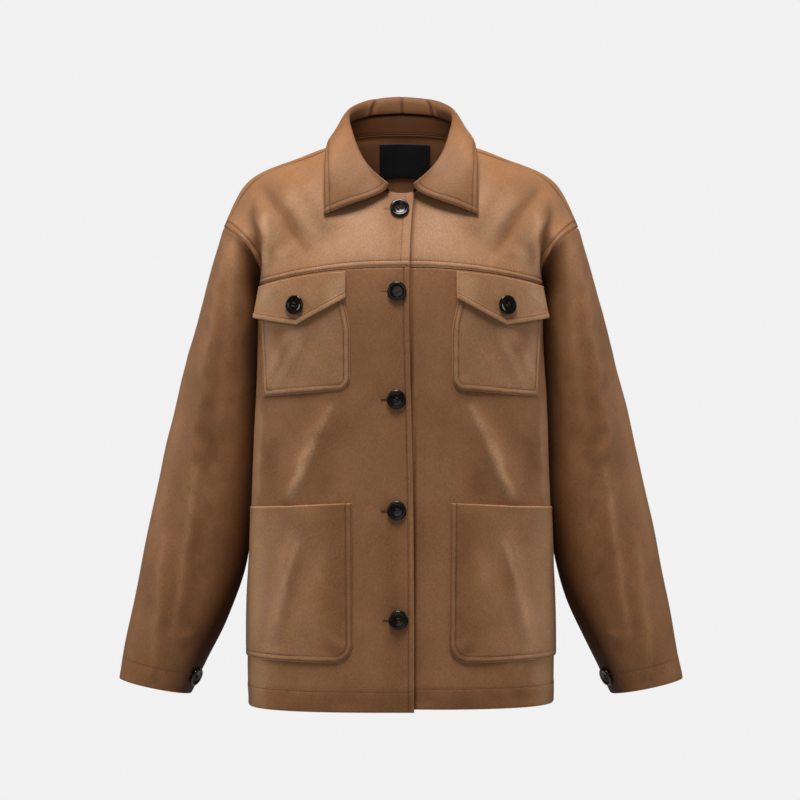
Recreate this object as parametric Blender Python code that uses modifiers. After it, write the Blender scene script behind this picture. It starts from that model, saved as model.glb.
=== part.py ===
"""Button-front overshirt jacket with drop shoulders: every cut and sewn piece, as a thin walled solid.

Metres, +Z up, the front towards -Y. The origin is the middle of the neck opening, at shoulder height.
The wearer's right is -X. Every panel is worked out for the +X side and turned over for the other one.
"""
import math
from collections import namedtuple

import bmesh
import bpy
import numpy as np
from mathutils import Matrix, Vector

# ---------------------------------------------------------------- driving sizes
WALL = 0.0020            # cloth of the panels
POCKET_WALL = 0.0016     # cloth of pockets and flaps
LABEL_WALL = 0.0010
GAP = 0.0004             # left between pieces that touch
SEAM = 0.0008            # left between two panels at a sewn seam, on their outer faces
LEFT = 1
RIGHT = -1

HEM = {RIGHT: -0.6855, LEFT: -0.6820}
BACK_HEM = -0.6845
UNDERARM = -0.197        # height of the underarm point
BODY_POWER = 2.8         # squareness of the body outline
DENT_REACH_FRONT = 0.045 # how far forward the arm's dent in the side goes
DENT_REACH_BACK = 0.066
OUTLINE_STEPS = 160      # samples along a quarter of the body outline

YOKE_SEAM = -0.1612      # height of the yoke seam at the front edge
YOKE_DROP = 0.0174       # how much lower it ends at the armhole
YOKE_BEND = 2.2
YOKE_SPAN = 0.165
ARMHOLE_RETURN = 0.040   # cloth between the yoke seam's end and the side seam
NECK_SHARE_FRONT = 0.52  # where along a yoke the neck ends and the shoulder starts
NECK_SHARE_BACK = 0.45

UNDERLAP = 0.014         # how far the lower front reaches past the centre line
UNDERLAP_GAP = 0.0008    # between the two fronts where they lap
TUCK_FLAT = 0.020        # the lower front lies one wall deeper up to here
TUCK_END = 0.060

BUTTON_RADIUS = 0.0115
FLAP_BUTTON_RADIUS = 0.0114
BUTTON_TURNS = 24
BUTTON_LIFT = 0.0004
ButtonRow = namedtuple("ButtonRow", "across up")
# Half section of a button in shares of its radius, from the middle of its face to the middle of its back.
BUTTON_PROFILE = (
    ButtonRow(0.0, 0.200),
    ButtonRow(0.58, 0.200),
    ButtonRow(0.72, 0.275),
    ButtonRow(0.88, 0.275),
    ButtonRow(1.0, 0.175),
    ButtonRow(0.97, 0.060),
    ButtonRow(0.82, 0.0),
    ButtonRow(0.0, 0.0),
)
MERGE = 0.00002          # corners of a piece closer than this are one

SUEDE_COLOR = (0.26, 0.125, 0.058)
HORN_COLOR = (0.018, 0.013, 0.010)
LABEL_COLOR = (0.008, 0.009, 0.011)

BodyRow = namedtuple("BodyRow", "height half_width side_width front_depth back_depth")
BODY = (
    BodyRow(-0.690, 0.185, 0.185, 0.117, 0.116),
    BodyRow(-0.550, 0.186, 0.185, 0.117, 0.113),
    BodyRow(-0.463, 0.189, 0.178, 0.1155, 0.111),
    BodyRow(-0.376, 0.190, 0.169, 0.1165, 0.109),
    BodyRow(-0.280, 0.186, 0.159, 0.1220, 0.109),
    BodyRow(-0.197, 0.182, 0.158, 0.1265, 0.110),
    BodyRow(-0.150, 0.180, 0.158, 0.1245, 0.108),
)

EdgeRow = namedtuple("EdgeRow", "height past_centre")
FRONT_EDGE = (
    EdgeRow(-0.700, 0.0155),
    EdgeRow(-0.340, 0.0125),
    EdgeRow(-0.161, 0.0100),
    EdgeRow(-0.100, 0.0130),
    EdgeRow(-0.060, 0.0170),
)

Place = namedtuple("Place", "x y z")
NECKLINE = (
    Place(-0.016, -0.0880, -0.0700),
    Place(0.014, -0.0880, -0.0690),
    Place(0.034, -0.0825, -0.0545),
    Place(0.055, -0.0690, -0.0315),
    Place(0.071, -0.0465, -0.0155),
    Place(0.078, -0.0180, -0.0075),
    Place(0.076, 0.0120, -0.0010),
    Place(0.062, 0.0420, 0.0060),
    Place(0.036, 0.0630, 0.0120),
    Place(0.000, 0.0720, 0.0140),
)
COLLAR_START = 1         # row of the neckline where the collar begins
NECK_POINT = 5           # row of the neckline that meets the shoulder seam
SHOULDER = (
    Place(0.078, -0.018, -0.0075),
    Place(0.0905, -0.018, -0.0108),
    Place(0.123, -0.018, -0.0232),
    Place(0.162, -0.018, -0.0378),
    Place(0.188, -0.017, -0.0545),
    Place(0.200, -0.013, -0.0720),
    Place(0.2165, 0.000, -0.1075),
)
FRONT_ARMHOLE = (
    Place(0.1725, -0.060, -0.1520),
    Place(0.183, -0.068, -0.1340),
    Place(0.193, -0.066, -0.1240),
    Place(0.205, -0.050, -0.1145),
    Place(0.213, -0.026, -0.1090),
    Place(0.2165, 0.000, -0.1075),
)
BACK_ARMHOLE = (
    Place(0.158, 0.000, -0.1970),
    Place(0.161, 0.026, -0.1880),
    Place(0.168, 0.050, -0.1700),
    Place(0.176, 0.067, -0.1500),
    Place(0.187, 0.073, -0.1310),
    Place(0.200, 0.064, -0.1170),
    Place(0.209, 0.045, -0.1100),
    Place(0.2145, 0.022, -0.1078),
    Place(0.2165, 0.000, -0.1075),
)

Rib = namedtuple("Rib", "share low_x low_y low_z high_x high_y high_z")
YOKE_RIBS = (
    Rib(0.00, -0.011, -0.1150, -0.131, -0.013, -0.1010, -0.101),
    Rib(0.20, 0.028, -0.1146, -0.130, 0.027, -0.1000, -0.098),
    Rib(0.36, 0.060, -0.1115, -0.126, 0.056, -0.0945, -0.087),
    Rib(0.52, 0.091, -0.1050, -0.122, 0.085, -0.0860, -0.069),
    Rib(0.68, 0.120, -0.0980, -0.123, 0.112, -0.0820, -0.065),
    Rib(0.80, 0.143, -0.0870, -0.128, 0.140, -0.0740, -0.074),
    Rib(0.88, 0.162, -0.0750, -0.140, 0.167, -0.0670, -0.096),
    Rib(0.94, 0.167, -0.0590, -0.147, 0.181, -0.0590, -0.105),
    Rib(1.00, 0.1765, -0.0640, -0.144, 0.202, -0.0560, -0.117),
)
BACK_RIBS = (
    Rib(0.00, 0.000, 0.1060, -0.127, 0.000, 0.0940, -0.055),
    Rib(0.25, 0.054, 0.1050, -0.128, 0.047, 0.0900, -0.058),
    Rib(0.45, 0.100, 0.0990, -0.127, 0.090, 0.0780, -0.056),
    Rib(0.60, 0.133, 0.0900, -0.128, 0.120, 0.0700, -0.054),
    Rib(0.75, 0.156, 0.0800, -0.133, 0.148, 0.0620, -0.060),
    Rib(0.88, 0.166, 0.0720, -0.143, 0.176, 0.0580, -0.082),
    Rib(1.00, 0.173, 0.0600, -0.157, 0.200, 0.0640, -0.117),
)
ARMHOLE_PULL = 0.86      # share of a panel past which it bends onto the armhole
RIB_LOW = 1 / 3
RIB_HIGH = 2 / 3
CREST_RUN_FRONT = Vector((0.0, 0.034, -0.022))
CREST_RUN_BACK = Vector((0.0, -0.034, -0.018))
CREST_BEFORE_NECK = 0.10 # share before the neck point where the crest begins
CREST_SPREAD = 0.12
NECK_RUN = 0.6           # how strongly a panel keeps its slope at the neckline
PANEL_RUN_BELOW = 0.040  # height of the row below an upper panel that sets its slope there
ARMHOLE_SEAM_RISE = 6    # a panel is cut back to the armhole seam over a sixth of its height
SHOULDER_SEAM = 0.005    # share of an upper panel left off at the shoulder seam
ARMHOLE_SEAM = 0.004     # and at the armhole

SleeveRow = namedtuple("SleeveRow", "share x y z half_width half_depth tilt")
SLEEVE = (
    SleeveRow(0.00, 0.1890, 0.003, -0.1530, 0.0530, 0.070, 56),
    SleeveRow(0.16, 0.2090, 0.005, -0.2320, 0.0465, 0.071, 20),
    SleeveRow(0.44, 0.2320, 0.005, -0.3780, 0.0540, 0.063, 11),
    SleeveRow(0.73, 0.2560, 0.001, -0.5280, 0.0620, 0.053, 13),
    SleeveRow(0.90, 0.2838, -0.003, -0.6160, 0.0512, 0.045, 15),
    SleeveRow(1.00, 0.2992, -0.005, -0.6645, 0.0448, 0.040, 12),
)
SLEEVE_FOLD_START = 0.08 # share of the sleeve below the seam that has no folds
SLEEVE_BLEND = 0.34      # share of the sleeve over which the armhole's shape gives way to the oval

CollarRow = namedtuple("CollarRow", "share fold_x fold_y fold_z edge_x edge_y edge_z bulge sag")
COLLAR = (
    CollarRow(0.00, 0.0000, 0.0790, 0.0590, 0.0000, 0.0930, -0.0100, 0.0030, 0.0000),
    CollarRow(0.14, 0.0330, 0.0710, 0.0550, 0.0520, 0.0840, -0.0110, 0.0030, 0.0000),
    CollarRow(0.28, 0.0545, 0.0480, 0.0460, 0.0780, 0.0480, -0.0120, 0.0030, 0.0000),
    CollarRow(0.42, 0.0650, 0.0160, 0.0335, 0.0855, 0.0000, -0.0085, 0.0030, 0.0000),
    CollarRow(0.58, 0.0615, -0.0300, 0.0090, 0.0905, -0.0470, -0.0150, 0.0065, -0.0020),
    CollarRow(0.74, 0.0535, -0.0610, -0.0160, 0.0918, -0.0838, -0.0490, 0.0085, -0.0020),
    CollarRow(0.88, 0.0375, -0.0825, -0.0425, 0.0918, -0.0972, -0.0760, 0.0072, 0.0000),
    CollarRow(1.00, 0.0150, -0.0945, -0.0630, 0.0915, -0.1042, -0.0985, 0.0040, 0.0022),
)
COLLAR_WALL = 0.0018
STAND_SHARE = 0.55       # how far up to the fold the stand reaches
COLLAR_SEAM = 0.0011     # between the stand and the folded collar
ROLL = 0.0032            # radius of the roll along the fold
FALL_KNOTS = (0.0, 0.22, 0.30, 0.38, 0.69, 1.0)     # seam, inner, crown, outer, middle and edge of the fall
FALL_LINES = np.array([0.0, 0.12, 0.22, 0.26, 0.30, 0.34, 0.38, 0.55, 0.78, 1.0])
COLLAR_LINES = np.linspace(0, 1, 33)
TANGENT_STEP = 0.01      # share over which the neckline's direction is taken
NECK_AXIS = -0.020       # the collar rolls outwards from this line

ButtonRow = namedtuple("ButtonRow", "x height")
FRONT_BUTTONS = (
    ButtonRow(-0.0018, -0.0905),
    ButtonRow(-0.0047, -0.1897),
    ButtonRow(-0.0054, -0.3166),
    ButtonRow(-0.0049, -0.4476),
    ButtonRow(-0.0031, -0.5763),
)

TOP_BUTTON_SHARE = 0.0675    # the first button sits on the yoke
TOP_BUTTON_RISE = 0.7775

# pockets and flaps: distances are along the cloth from the centre line
CHEST_INNER = 0.060
CHEST_OUTER = 0.186
CHEST_OUTER_LOW = 0.171  # its outer edge slants in towards its foot
CHEST_INNER_SLANT = 0.008  # and its inner edge slants in under the flap
CHEST_SLANT_START = 0.55 # from this share of its height
CHEST_TOP = -0.188
CHEST_BOTTOM_INNER = -0.3050
CHEST_BOTTOM_OUTER = -0.3145
CHEST_CORNER = 0.019
CHEST_EDGE_LIFT = 0.0006 # how much further the outer edge stands off, where the body turns away
HIP_INNER_TOP = 0.0580
HIP_INNER_BOTTOM = 0.0565
HIP_TO_SIDE = 0.010
HIP_TOP_INNER = -0.4386
HIP_TOP_OUTER = -0.4450
HIP_BOTTOM_INNER = -0.6275
HIP_BOTTOM_OUTER = -0.6255
HIP_CORNER = 0.024
HIP_GAPE = 0.0030        # how far the open pocket top stands off the front
FLAP_INNER = 0.0650
FLAP_OUTER = 0.1870
FLAP_BELOW_SEAM = 0.0030
FLAP_POINT = 0.1235
FLAP_INNER_BOTTOM = -0.1977
FLAP_POINT_BOTTOM = -0.2287
FLAP_OUTER_BOTTOM = -0.2195
FLAP_FLARE = 0.0060      # how far the outer lower corner stands off
FLAP_HANG = 0.0014       # and the rest of the lower edge
FLAP_BUTTON_AT = 0.1250
FLAP_BUTTON_RISE = 0.42

PATCH_STEP = 0.0015      # least width of a patch's column
PATCH_ROWS = np.array([0, 0.02, 0.06, 0.12, 0.24, 0.40, 0.56, 0.72, 0.86, 1.0])
GAPE_START = 0.7         # share of a hip pocket's height where its mouth begins to stand off

LABEL_GAP = 0.0008
LABEL_MIDDLE = 0.0050
LABEL_WIDTH = 0.066
LABEL_TOP = 0.945        # shares of the back's upper half
LABEL_BOTTOM = 0.745
CUFF_BUTTON_TURN = 0.435
CUFF_BUTTON_SHARE = 0.953


# ---------------------------------------------------------------- column lines of the panels
def split_shares(middle, inner_count, outer_count):
    """Shares from 0 to 1 with a line at the middle one."""
    inner = np.linspace(0, middle, inner_count + 1)
    return np.concatenate([inner, np.linspace(middle, 1, outer_count + 1)[1:]])


FRONT_LINES = np.linspace(0, 1, 16)
FRONT_ROWS = np.concatenate([np.linspace(0, 0.88, 15), [0.92, 0.96, 1.0]])      # closer over the chest
YOKE_ROWS = np.linspace(0, 1, 11)
YOKE_LINES = split_shares(NECK_SHARE_FRONT, 6, 9)
BACK_HALF = split_shares(NECK_SHARE_BACK, 5, 8)
BACK_LINES = np.concatenate([-BACK_HALF[::-1], BACK_HALF[1:]])
BACK_ROWS = np.concatenate([np.linspace(0, 1, 13), np.linspace(1, 2, 13)[1:]])
SLEEVE_TURNS = np.linspace(0, 1, 25)
SLEEVE_ROWS = np.linspace(0, 1, 17)
STAND_ROWS = np.linspace(0, 1, 3)
FLAP_ROWS = np.linspace(0, 1, 5)
LABEL_LINES = np.linspace(0, 1, 5)
LABEL_ROWS = np.linspace(0, 1, 4)
ARMHOLE_SAMPLES = np.linspace(0, 1, 60)
NORMAL_STEP = 0.0005     # how far apart two places are that give a surface's slope


# ---------------------------------------------------------------- folds of the cloth
FOLD_FREE = 0.060        # folds fade out this far from the side seam
Fold = namedtuple("Fold", "from_x from_z to_x to_z width rise")
YOKE_FOLDS = (
    Fold(0.163, -0.066, 0.113, -0.139, 0.013, -0.0030),
    Fold(0.118, -0.052, 0.098, -0.100, 0.014, 0.0012),
)
FRONT_FOLDS = (
    Fold(0.088, -0.338, 0.135, -0.432, 0.013, 0.0030),
    Fold(0.122, -0.350, 0.164, -0.425, 0.018, -0.0018),
    Fold(0.066, -0.360, 0.098, -0.440, 0.018, -0.0010),
)
HIP_FOLDS = (
    Fold(0.128, -0.492, 0.156, -0.592, 0.012, 0.0032),
    Fold(0.092, -0.520, 0.108, -0.600, 0.016, 0.0010),
)
BACK_FOLDS = (
    Fold(0.128, -0.200, 0.150, -0.330, 0.026, 0.0040),
    Fold(0.070, -0.300, 0.096, -0.520, 0.034, 0.0030),
    Fold(0.110, -0.420, 0.128, -0.640, 0.030, -0.0030),
)
SLEEVE_FOLDS = (
    Fold(0.211, -0.114, 0.248, -0.372, 0.015, 0.0036),
    Fold(0.193, -0.183, 0.214, -0.410, 0.014, -0.0028),
    Fold(0.246, -0.378, 0.272, -0.570, 0.014, 0.0030),
    Fold(0.227, -0.378, 0.244, -0.560, 0.014, -0.0030),
    Fold(0.283, -0.500, 0.298, -0.640, 0.014, 0.0026),
)


# ---------------------------------------------------------------- curves
def spline(at, knots, values):
    """Value at each parameter of the natural cubic spline through the values at the knots."""
    knots = np.asarray(knots, float)
    values = np.asarray(values, float)
    flat = values.reshape(len(knots), -1)
    step = np.diff(knots)
    slope = np.diff(flat, axis=0) / step[:, None]
    system = np.eye(len(knots))
    load = np.zeros_like(flat)
    for row in range(1, len(knots) - 1):
        system[row, row - 1:row + 2] = step[row - 1], 2 * (step[row - 1] + step[row]), step[row]
        load[row] = 6 * (slope[row] - slope[row - 1])
    bend = np.linalg.solve(system, load)
    at = np.asarray(at, float)
    where = at.reshape(-1)
    cell = np.clip(np.searchsorted(knots, where, side="right") - 1, 0, len(step) - 1)
    width = step[cell][:, None]
    after = (where - knots[cell])[:, None] / width
    before = 1 - after
    value = before * flat[cell] + after * flat[cell + 1]
    value += ((before**3 - before) * bend[cell] + (after**3 - after) * bend[cell + 1]) * width**2 / 6
    return value.reshape(at.shape + values.shape[1:])


def through(at, knots, stations):
    """For each parameter, the place on the spline through its own places at the knots."""
    weights = spline(at, knots, np.eye(len(knots)))
    return np.einsum("nk,knc->nc", weights, stations)


def chord_shares(points):
    """Share of the way along a chain of points at each point."""
    points = np.asarray(points, float)
    length = np.concatenate([[0.0], np.cumsum(np.linalg.norm(np.diff(points, axis=0), axis=1))])
    return length / length[-1]


def along(points, share):
    """Places at the given shares of a smooth curve through the points."""
    return spline(share, chord_shares(points), points)


def ease(value):
    """Zero below 0, one above 1, smooth between."""
    value = np.clip(value, 0.0, 1.0)
    return value * value * (3 - 2 * value)


def fold_height(x, z, folds):
    """Height of the folds at places given by their x and z."""
    total = np.zeros(np.shape(x))
    for fold in folds:
        run_x = fold.to_x - fold.from_x
        run_z = fold.to_z - fold.from_z
        part = ((x - fold.from_x) * run_x + (z - fold.from_z) * run_z) / (run_x**2 + run_z**2)
        part = np.clip(part, 0, 1)
        off = np.hypot(x - fold.from_x - part * run_x, z - fold.from_z - part * run_z)
        total += fold.rise * np.exp(-(off / fold.width) ** 2) * (1 - (2 * part - 1) ** 4 / 2)
    return total


def folded(place, folds, facing):
    """Places raised by the folds, towards the front where facing is -1 and the back where it is 1."""
    place = place.copy()
    clear_of_side = ease(np.abs(place[:, 1]) / FOLD_FREE)
    place[:, 1] += facing * clear_of_side * fold_height(place[:, 0], place[:, 2], folds)
    return place


def columns_of(rows, *names):
    """Named columns of a table as an array."""
    return np.array([[getattr(row, name) for name in names] for row in rows])


# ---------------------------------------------------------------- body outline
def body_outline(height, back):
    """Quarter outline of the body at each height, centre line to side seam, with its length along."""
    sizes = spline(height, [row.height for row in BODY], columns_of(BODY, *BodyRow._fields[1:]))
    half_width, side_width, front_depth, back_depth = (sizes[:, column, None] for column in range(4))
    turn = np.linspace(0, math.pi / 2, OUTLINE_STEPS)
    depth = back_depth if back else -front_depth
    y = depth * np.clip(np.cos(turn), 0, 1) ** (2 / BODY_POWER)
    x = half_width * np.sin(turn) ** (2 / BODY_POWER)
    reach = DENT_REACH_BACK if back else DENT_REACH_FRONT
    x = x - (half_width - side_width) * np.exp(-(y / reach) ** 2)
    length = np.cumsum(np.hypot(np.diff(x, axis=1), np.diff(y, axis=1)), axis=1)
    return x, y, np.concatenate([np.zeros((len(x), 1)), length], axis=1)


def girth(height, back=False):
    """Cloth from the centre line to the side seam at each height."""
    return body_outline(np.atleast_1d(height), back)[2][:, -1]


def body_point(distance, height, back=False):
    """Places on the body at distances along the cloth from the centre line."""
    distance, height = (np.array(part) for part in np.broadcast_arrays(distance, height))
    x, y, length = body_outline(height, back)
    reach = np.abs(distance)
    place = np.empty((len(reach), 3))
    for row, value in enumerate(reach):
        place[row, 0] = np.interp(value, length[row], x[row])
        place[row, 1] = np.interp(value, length[row], y[row])
    place[:, 0] *= np.where(distance < 0, -1, 1)
    place[:, 2] = height
    return place


def front_edge(height, side):
    """Distance of a front's edge from the centre line, negative past it."""
    if side == LEFT:
        return np.full(np.shape(height), -UNDERLAP)
    return -spline(height, [row.height for row in FRONT_EDGE], [row.past_centre for row in FRONT_EDGE])


def tuck(x, side):
    """How much deeper the lower front lies near the middle."""
    if side == RIGHT:
        return np.zeros(np.shape(x))
    return (WALL + UNDERLAP_GAP) * (1 - ease((x - TUCK_FLAT) / (TUCK_END - TUCK_FLAT)))


def seam_height(x):
    """Height of the yoke seam at a distance from the middle."""
    return YOKE_SEAM - YOKE_DROP * (np.abs(x) / YOKE_SPAN) ** YOKE_BEND


def front_top(distance):
    """Top edge of a lower front: the yoke seam, then the armhole down to the underarm."""
    reach = girth(UNDERARM)[0]
    x = body_point(distance, YOKE_SEAM)[:, 0]
    down = np.clip((distance - (reach - ARMHOLE_RETURN)) / ARMHOLE_RETURN, 0, 1)
    return seam_height(x) * (1 - down) + UNDERARM * down


def front_place(distance, height, side):
    """Place on a lower front, for the +X side."""
    place = body_point(distance, height)
    place[:, 1] += tuck(distance, side)
    return folded(place, FRONT_FOLDS, -1)


def front_surface(share, rise, side):
    """Lower front: share goes from the front edge to the side seam, rise from the hem to the top edge."""
    reach = girth(UNDERARM)[0]
    top = front_top(-UNDERLAP + share * (reach + UNDERLAP)) - SEAM / 2
    height = HEM[side] + rise * (top - HEM[side])
    edge = front_edge(height, side)
    distance = edge + share * (girth(height) - SEAM / 2 - edge)
    return front_place(distance, height, side)


# ---------------------------------------------------------------- upper panels
def yoke_end():
    """Where the yoke seam meets the armhole."""
    reach = girth(UNDERARM)[0]
    distance = np.array([reach - ARMHOLE_RETURN])
    return body_point(distance, front_top(distance))[0]


def front_armhole(share):
    """Front half of the armhole, from the yoke seam to the shoulder point."""
    return along([yoke_end(), *FRONT_ARMHOLE], share)


def back_armhole(share):
    """Back half of the armhole, from the underarm to the shoulder point."""
    return along(BACK_ARMHOLE, share)


def underarm_row(share):
    """Front armhole below the yoke seam, from the underarm to the yoke seam."""
    reach = girth(UNDERARM)[0]
    distance = reach - ARMHOLE_RETURN * share
    return body_point(distance, front_top(distance))


def top_edge(share, neck_share, back):
    """Neckline and shoulder seam: share 0 at the middle, neck_share at the neck, 1 at the shoulder point."""
    neck_at = chord_shares(NECKLINE)[NECK_POINT]
    to_neck = np.clip(share / neck_share, 0, 1)
    neck = along(NECKLINE, 1 - (1 - neck_at) * to_neck if back else neck_at * to_neck)
    shoulder = along(SHOULDER, np.clip((share - neck_share) / (1 - neck_share), 0, 1))
    return np.where((share > neck_share)[:, None], shoulder, neck)


def upper_panel(share, rise, ribs, lower_rows, armhole, neck_share, back):
    """Panel over the shoulder: ribs between its lower rows and the top edge, ending on the armhole."""
    knots = [rib.share for rib in ribs]
    rises = [-RIB_LOW, 0, RIB_LOW, RIB_HIGH, 1, 1 + RIB_LOW]
    crest = np.array(CREST_RUN_BACK if back else CREST_RUN_FRONT)

    def loft(at):
        below, bottom = lower_rows(at)
        low = spline(at, knots, columns_of(ribs, "low_x", "low_y", "low_z"))
        high = spline(at, knots, columns_of(ribs, "high_x", "high_y", "high_z"))
        top = top_edge(at, neck_share, back)
        over = ease((at - neck_share + CREST_BEFORE_NECK) / CREST_SPREAD)[:, None]
        beyond = top + over * crest + (1 - over) * (top - high) * NECK_RUN
        stations = np.stack([below, bottom, low, high, top, beyond])
        return through(rise, rises, stations)

    share = share * (1 - ARMHOLE_SEAM * np.clip(rise * ARMHOLE_SEAM_RISE, 0, 1))
    rise = rise * (1 - SHOULDER_SEAM)
    pull = ease((share - ARMHOLE_PULL) / (1 - ARMHOLE_PULL))[:, None]
    return loft(share) + pull * (armhole(rise) - loft(np.ones(len(share))))


def yoke_surface(share, rise, side):
    """Front yoke: share from the front edge to the armhole, rise from its seam to the shoulder."""
    reach = girth(UNDERARM)[0] - ARMHOLE_RETURN
    edge = front_edge(np.array([YOKE_SEAM]), side)[0]

    def lower_rows(at):
        distance = edge + at * (reach - edge)
        seam = front_top(distance) + SEAM / 2
        return body_point(distance, seam - PANEL_RUN_BELOW), body_point(distance, seam)

    place = upper_panel(share, rise, YOKE_RIBS, lower_rows, front_armhole, NECK_SHARE_FRONT, False)
    place[:, 1] += tuck(place[:, 0], side)
    return folded(place, YOKE_FOLDS, -1)


def back_surface(share, rise):
    """Half of the back: share from the middle to the side, rise to 1 at the underarm and 2 at the top."""
    height = BACK_HEM + np.clip(rise, 0, 1) * (UNDERARM - BACK_HEM)
    lower = body_point(share * (girth(height, True) - SEAM / 2), height, True)
    reach = girth(UNDERARM, True)[0]

    def lower_rows(at):
        below = body_point(at * reach, UNDERARM - PANEL_RUN_BELOW, True)
        return below, body_point(at * reach, UNDERARM, True)

    upper = upper_panel(share, np.clip(rise - 1, 0, 1), BACK_RIBS, lower_rows, back_armhole,
                        NECK_SHARE_BACK, True)
    return folded(np.where((rise > 1)[:, None], upper, lower), BACK_FOLDS, 1)


# ---------------------------------------------------------------- sleeve
def armhole_ring(turn):
    """Armhole all round: turn 0 at the shoulder point, then the front, the underarm and the back."""
    front = np.concatenate([front_armhole(ARMHOLE_SAMPLES[::-1]), underarm_row(1 - ARMHOLE_SAMPLES)[1:]])
    back = back_armhole(ARMHOLE_SAMPLES)
    place = np.empty((len(turn), 3))
    for column in range(3):
        on_front = np.interp(turn * 2, chord_shares(front), front[:, column])
        on_back = np.interp(turn * 2 - 1, chord_shares(back), back[:, column])
        place[:, column] = np.where(turn <= 0.5, on_front, on_back)
    return place


def sleeve_surface(turn, share):
    """Sleeve: turn goes round from the outside over the front, share from the armhole to the cuff."""
    knots = [row.share for row in SLEEVE]
    sizes = spline(share, knots, columns_of(SLEEVE, *SleeveRow._fields[1:]))
    middle = sizes[:, :3]
    half_width, half_depth, tilt = sizes[:, 3], sizes[:, 4], np.radians(sizes[:, 5])
    angle = 2 * math.pi * turn
    across = np.stack([np.cos(tilt), np.zeros(len(tilt)), np.sin(tilt)], axis=1)
    oval = middle + (half_width * np.cos(angle))[:, None] * across
    oval[:, 1] -= half_depth * np.sin(angle)
    start = np.array(SLEEVE[0][1:4])
    ring = armhole_ring(turn) + (middle - start)
    round_share = ease(share / SLEEVE_BLEND)[:, None]
    place = ring * (1 - round_share) + oval * round_share
    forward = -np.sin(angle) * fold_height(place[:, 0], place[:, 2], SLEEVE_FOLDS)
    place[:, 1] += forward * ease(share / SLEEVE_FOLD_START)
    return place


def sleeve_piece(turn, share, side):
    """Sleeve with its top edge a seam's width below the armhole and outside it."""
    length = SLEEVE[-1].z - SLEEVE[0].z
    place = sleeve_surface(turn, share * (1 + SEAM / length) - SEAM / length)
    return mirrored(place + np.array([SEAM, 0, 0]), side)


# ---------------------------------------------------------------- collar
def collar_rows(share):
    """Neck seam, fold, edge, bulge, sag and outward normal of the collar, from the back to the front."""
    start = chord_shares(NECKLINE)[COLLAR_START]
    neck = along(NECKLINE, 1 - (1 - start) * share)
    knots = [row.share for row in COLLAR]
    fold = spline(share, knots, columns_of(COLLAR, "fold_x", "fold_y", "fold_z"))
    edge = spline(share, knots, columns_of(COLLAR, "edge_x", "edge_y", "edge_z"))
    bulge = spline(share, knots, columns_of(COLLAR, "bulge"))
    sag = spline(share, knots, columns_of(COLLAR, "sag"))
    ahead = along(NECKLINE, 1 - (1 - start) * np.clip(share + TANGENT_STEP, 0, 1))
    behind = along(NECKLINE, 1 - (1 - start) * np.clip(share - TANGENT_STEP, 0, 1))
    lean = np.cross(fold - neck, ahead - behind)
    lean /= np.linalg.norm(lean, axis=1)[:, None]
    return neck, fold, edge, bulge, sag, lean


def mirrored(place, sign):
    """Places with x turned over where the sign is negative."""
    place = place.copy()
    place[:, 0] *= sign
    return place


def stand_surface(turn, rise):
    """Collar stand: turn from the wearer's right front end round the back to the left one."""
    across = turn * 2 - 1
    neck, fold = collar_rows(np.abs(across))[:2]
    low = neck + np.array([0, 0, SEAM])
    place = low + (rise * STAND_SHARE)[:, None] * (fold - neck)
    return mirrored(place, np.sign(across))


def fall_surface(turn, run):
    """Folded collar: run from the stand seam up, over the fold and down to the outer edge."""
    across = turn * 2 - 1
    neck, fold, edge, bulge, sag, lean = collar_rows(np.abs(across))
    out = fold - np.array([0, NECK_AXIS, 0])
    out[:, 2] = 0
    out /= np.linalg.norm(out, axis=1)[:, None]
    up = np.array([0.0, 0.0, 1.0])
    rise = (fold - neck) / np.linalg.norm(fold - neck, axis=1)[:, None]
    seam = neck + (fold - neck) * STAND_SHARE + up * SEAM + rise * COLLAR_SEAM - lean * COLLAR_WALL
    inner = fold - lean * ROLL
    crown = fold + rise * ROLL
    outer = fold + lean * ROLL
    middle = (outer + edge) / 2 + out * bulge - up * sag
    stations = np.stack([seam, inner, crown, outer, middle, edge])
    return mirrored(through(run, FALL_KNOTS, stations), np.sign(across))


# ---------------------------------------------------------------- pieces that lie on a panel
def normals(surface, first, second):
    """Unit normals of a surface."""
    along_first = surface(first + NORMAL_STEP, second) - surface(first - NORMAL_STEP, second)
    along_second = surface(first, second + NORMAL_STEP) - surface(first, second - NORMAL_STEP)
    normal = np.cross(along_first, along_second)
    return normal / np.linalg.norm(normal, axis=1)[:, None]


def flat_between(lines, share, at_share):
    """Places on the flat faces between a panel's column lines, at shares across it."""
    cell = np.clip(np.searchsorted(lines, share, side="right") - 1, 0, len(lines) - 2)
    part = ((share - lines[cell]) / (lines[cell + 1] - lines[cell]))[:, None]
    return at_share(lines[cell]) * (1 - part) + at_share(lines[cell + 1]) * part


def on_front(distance, height, side, lift):
    """Places at a lift above a front's faces, at distances along its cloth."""
    edge = front_edge(height, side)
    reach = girth(height) - SEAM / 2 - edge

    def at_share(share):
        return front_place(edge + share * reach, height, side)

    foot = flat_between(FRONT_LINES, (distance - edge) / reach, at_share)
    normal = normals(lambda a, b: front_place(a, b, side), distance, height)
    return foot + normal * np.reshape(lift, (-1, 1))


def patch_columns(inner, outer, height, side):
    """Column lines of a patch as distances: its two edges and the panel's own lines between them."""
    edge = front_edge(np.array([height]), side)[0]
    reach = girth(height)[0] - SEAM / 2 - edge
    lines = edge + FRONT_LINES * reach
    return lines[(lines > inner + PATCH_STEP) & (lines < outer - PATCH_STEP)]


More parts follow.
